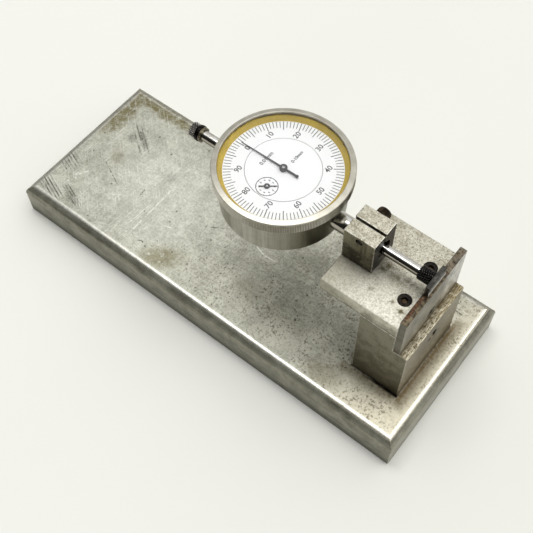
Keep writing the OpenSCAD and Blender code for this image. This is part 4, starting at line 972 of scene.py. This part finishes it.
# Contact: a black knurled collar on the front of the spindle with a flat steel blade brazed to it. The
# blade's outer face is ground bright along its lower half, and the rest is dark from the heat.
collar_lo, collar_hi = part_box("contact_collar")
blade_lo, blade_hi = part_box("contact_blade")
_, spindle_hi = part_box("spindle")
COLLAR_STUD_R = 1.25 * MM
COLLAR_BEVEL = 0.4 * MM
COLLAR_STUDS = 22
COLLAR_ROWS = 13
COLLAR_STUD = 0.4 * MM
RIDGE = 0.32 * MM
collar_r = (collar_hi.y - collar_lo.y) / 2
collar_start = spindle_hi.x - collar_lo.x
collar_end = collar_hi.x - collar_lo.x
ridge_r = collar_r - RIDGE
collar_at = Matrix.Translation((collar_lo.x, 0, axis_z)) @ along_spindle
collar = turned(
    [(0, 0), (COLLAR_STUD_R, 0), (COLLAR_STUD_R, collar_start), (ridge_r - COLLAR_BEVEL, collar_start),
     (ridge_r, collar_start + COLLAR_BEVEL), (ridge_r, collar_end), (0, collar_end)],
    collar_at, SMALL_STEPS)
collar_finish = worn_knurl("collar_oxide", ridge_r + 0.14 * MM, ridge_r + 0.4 * MM, collar_hi.x)
add_mesh(collar, grown(grips, Count=COLLAR_STUDS, Rows=COLLAR_ROWS, Radius=ridge_r - SUNK,
                       Length=collar_end - collar_start - 0.5 * MM, Size=COLLAR_STUD, Finish=collar_finish),
         collar_at @ Matrix.Translation((0, 0, collar_start + COLLAR_BEVEL)))
piece("collar_grip", collar, collar_finish, "plunger", "black_oxide", "contact_collar")

blade, place, facing = begin("blade_steel", 1.0)
middle_z = (blade_lo.z + blade_hi.z) / 2
ground = facing.axes()[0].smooth(0.75, 0.95)
ground = ground * place.axes()[2].smooth(middle_z + 0.3 * MM, middle_z - 0.1 * MM)
lapped = place.laid(0.0, (1, 1, 20)).grain(0.3 * MM, 2.0)
scale = place.grain(1.6 * MM, 4.0, 0.65)
dark_side = scale.smooth(0.35, 0.7).tint((58, 57, 54), (96, 94, 88))
ground.tint(dark_side, lapped.mottle((176, 174, 170), (226, 225, 222))).feeds("Base Color")
(0.4 + 0.15 * scale - 0.15 * ground).feeds("Roughness")
(lapped * 0.3 + scale * 0.5).bump(0.08, 0.1)
piece("blade_body", eased("contact_blade", 0.25 * MM, 1.0 * MM), blade, "plunger", "fence_steel",
      "contact_blade", smooth=FLAT)


# Stage: a plain pale table under one soft lamp overhead, in a pale room with a window on the right and a
# dark front, so that the rods and rounded edges show a white line next to black.
TABLE_HALF = 3.0
TABLE_DROP = 0.05 * MM
paper, place, _ = begin("pale_table", 0.0, Roughness=0.85)
fibres = place.grain(0.3, 2.0)
fibres.mottle((240, 240, 234), (243, 243, 238)).feeds("Base Color")
floor_mesh = bpy.data.meshes.new("table_top")
floor_mesh.from_pydata([(TABLE_HALF * i, TABLE_HALF * j, -TABLE_DROP)
                        for i, j in ((-1, -1), (1, -1), (1, 1), (-1, 1))], [], [(0, 1, 2, 3)])
floor_mesh.materials.append(paper)
table = bpy.data.objects.new("table_top", floor_mesh)
add_object(table)

world = bpy.data.worlds.new("studio")
scene.world = world
world.use_nodes = True
sky = Wire(world.node_tree, world.node_tree.nodes.new("ShaderNodeTexCoord").outputs["Generated"])
sky_x, sky_y, _ = sky.axes()


def glow(aim, inner, outer):
    """A round bright part of the room about a direction, full to one angle and gone at another."""
    dot = sky.node("ShaderNodeVectorMath", {"operation": "DOT_PRODUCT"},
                   {0: sky, 1: Vector(aim).normalized()}, out=1)
    return dot.smooth(math.cos(math.radians(outer)), math.cos(math.radians(inner)))


ceiling = glow((-0.10, 0.40, 0.91), 20, 57)
panel = glow((0.38, 0.0, 0.925), 14, 30)
window = glow((0.38, 0.40, 0.83), 6, 19)
walls = (0.53 * sky_y.smooth(0.25, 0.75)).top(0.43 * abs(sky_x).smooth(0.45, 0.8))
world.node_tree.nodes["Background"].inputs["Color"].default_value = (1.0, 0.997, 0.975, 1.0)
(0.03 + 0.92 * ceiling + 1.4 * panel + 1.2 * window + walls * (1.0 - ceiling)).feeds("Strength", "Background")


def aimed(place, right, over, back):
    """The pose of a lamp or a camera at a place, its own three axes along these."""
    return Matrix.Translation(place) @ Matrix((right, over, back)).transposed().to_4x4()


LAMP_AWAY = 1.3
lamp = bpy.data.lights.new("overhead", "AREA")
lamp.shape = "RECTANGLE"
lamp.size = 0.65
lamp.size_y = 0.44
lamp.energy = 4.4
lamp.color = (1.0, 0.997, 0.98)
overhead = bpy.data.objects.new("overhead", lamp)
lamp_back = Vector((-0.18, 0.03, 0.98)).normalized()
lamp_right = Vector((0, 1, 0)).cross(lamp_back).normalized()
overhead.matrix_world = aimed(LAMP_AWAY * lamp_back, lamp_right, lamp_back.cross(lamp_right), lamp_back)
add_object(overhead)


# Camera: where the photograph was taken from, fitted to the corners of the blocks.
PICTURE = 533
FOCAL_PIXELS = 898.186
CAMERA_AWAY = 437.2 * MM
azimuth, elevation, roll = (math.radians(a) for a in (39.588, 59.559, -1.591))
target = Vector((6.54 * MM, 3.69 * MM, 0))
back = Vector((math.sin(azimuth) * math.cos(elevation), -math.cos(azimuth) * math.cos(elevation),
               math.sin(elevation)))
right = Vector((math.cos(azimuth), math.sin(azimuth), 0))
over = back.cross(right)
right, over = (math.cos(roll) * right + math.sin(roll) * over, math.cos(roll) * over - math.sin(roll) * right)
lens = bpy.data.cameras.new("camera")
lens.sensor_width = 36.0
lens.lens = lens.sensor_width * FOCAL_PIXELS / PICTURE
lens.clip_start = 0.01
camera = bpy.data.objects.new("camera", lens)
camera.matrix_world = aimed(target + CAMERA_AWAY * back, right, over, back)
add_object(camera)
scene.camera = camera
scene.view_settings.view_transform = "Standard"
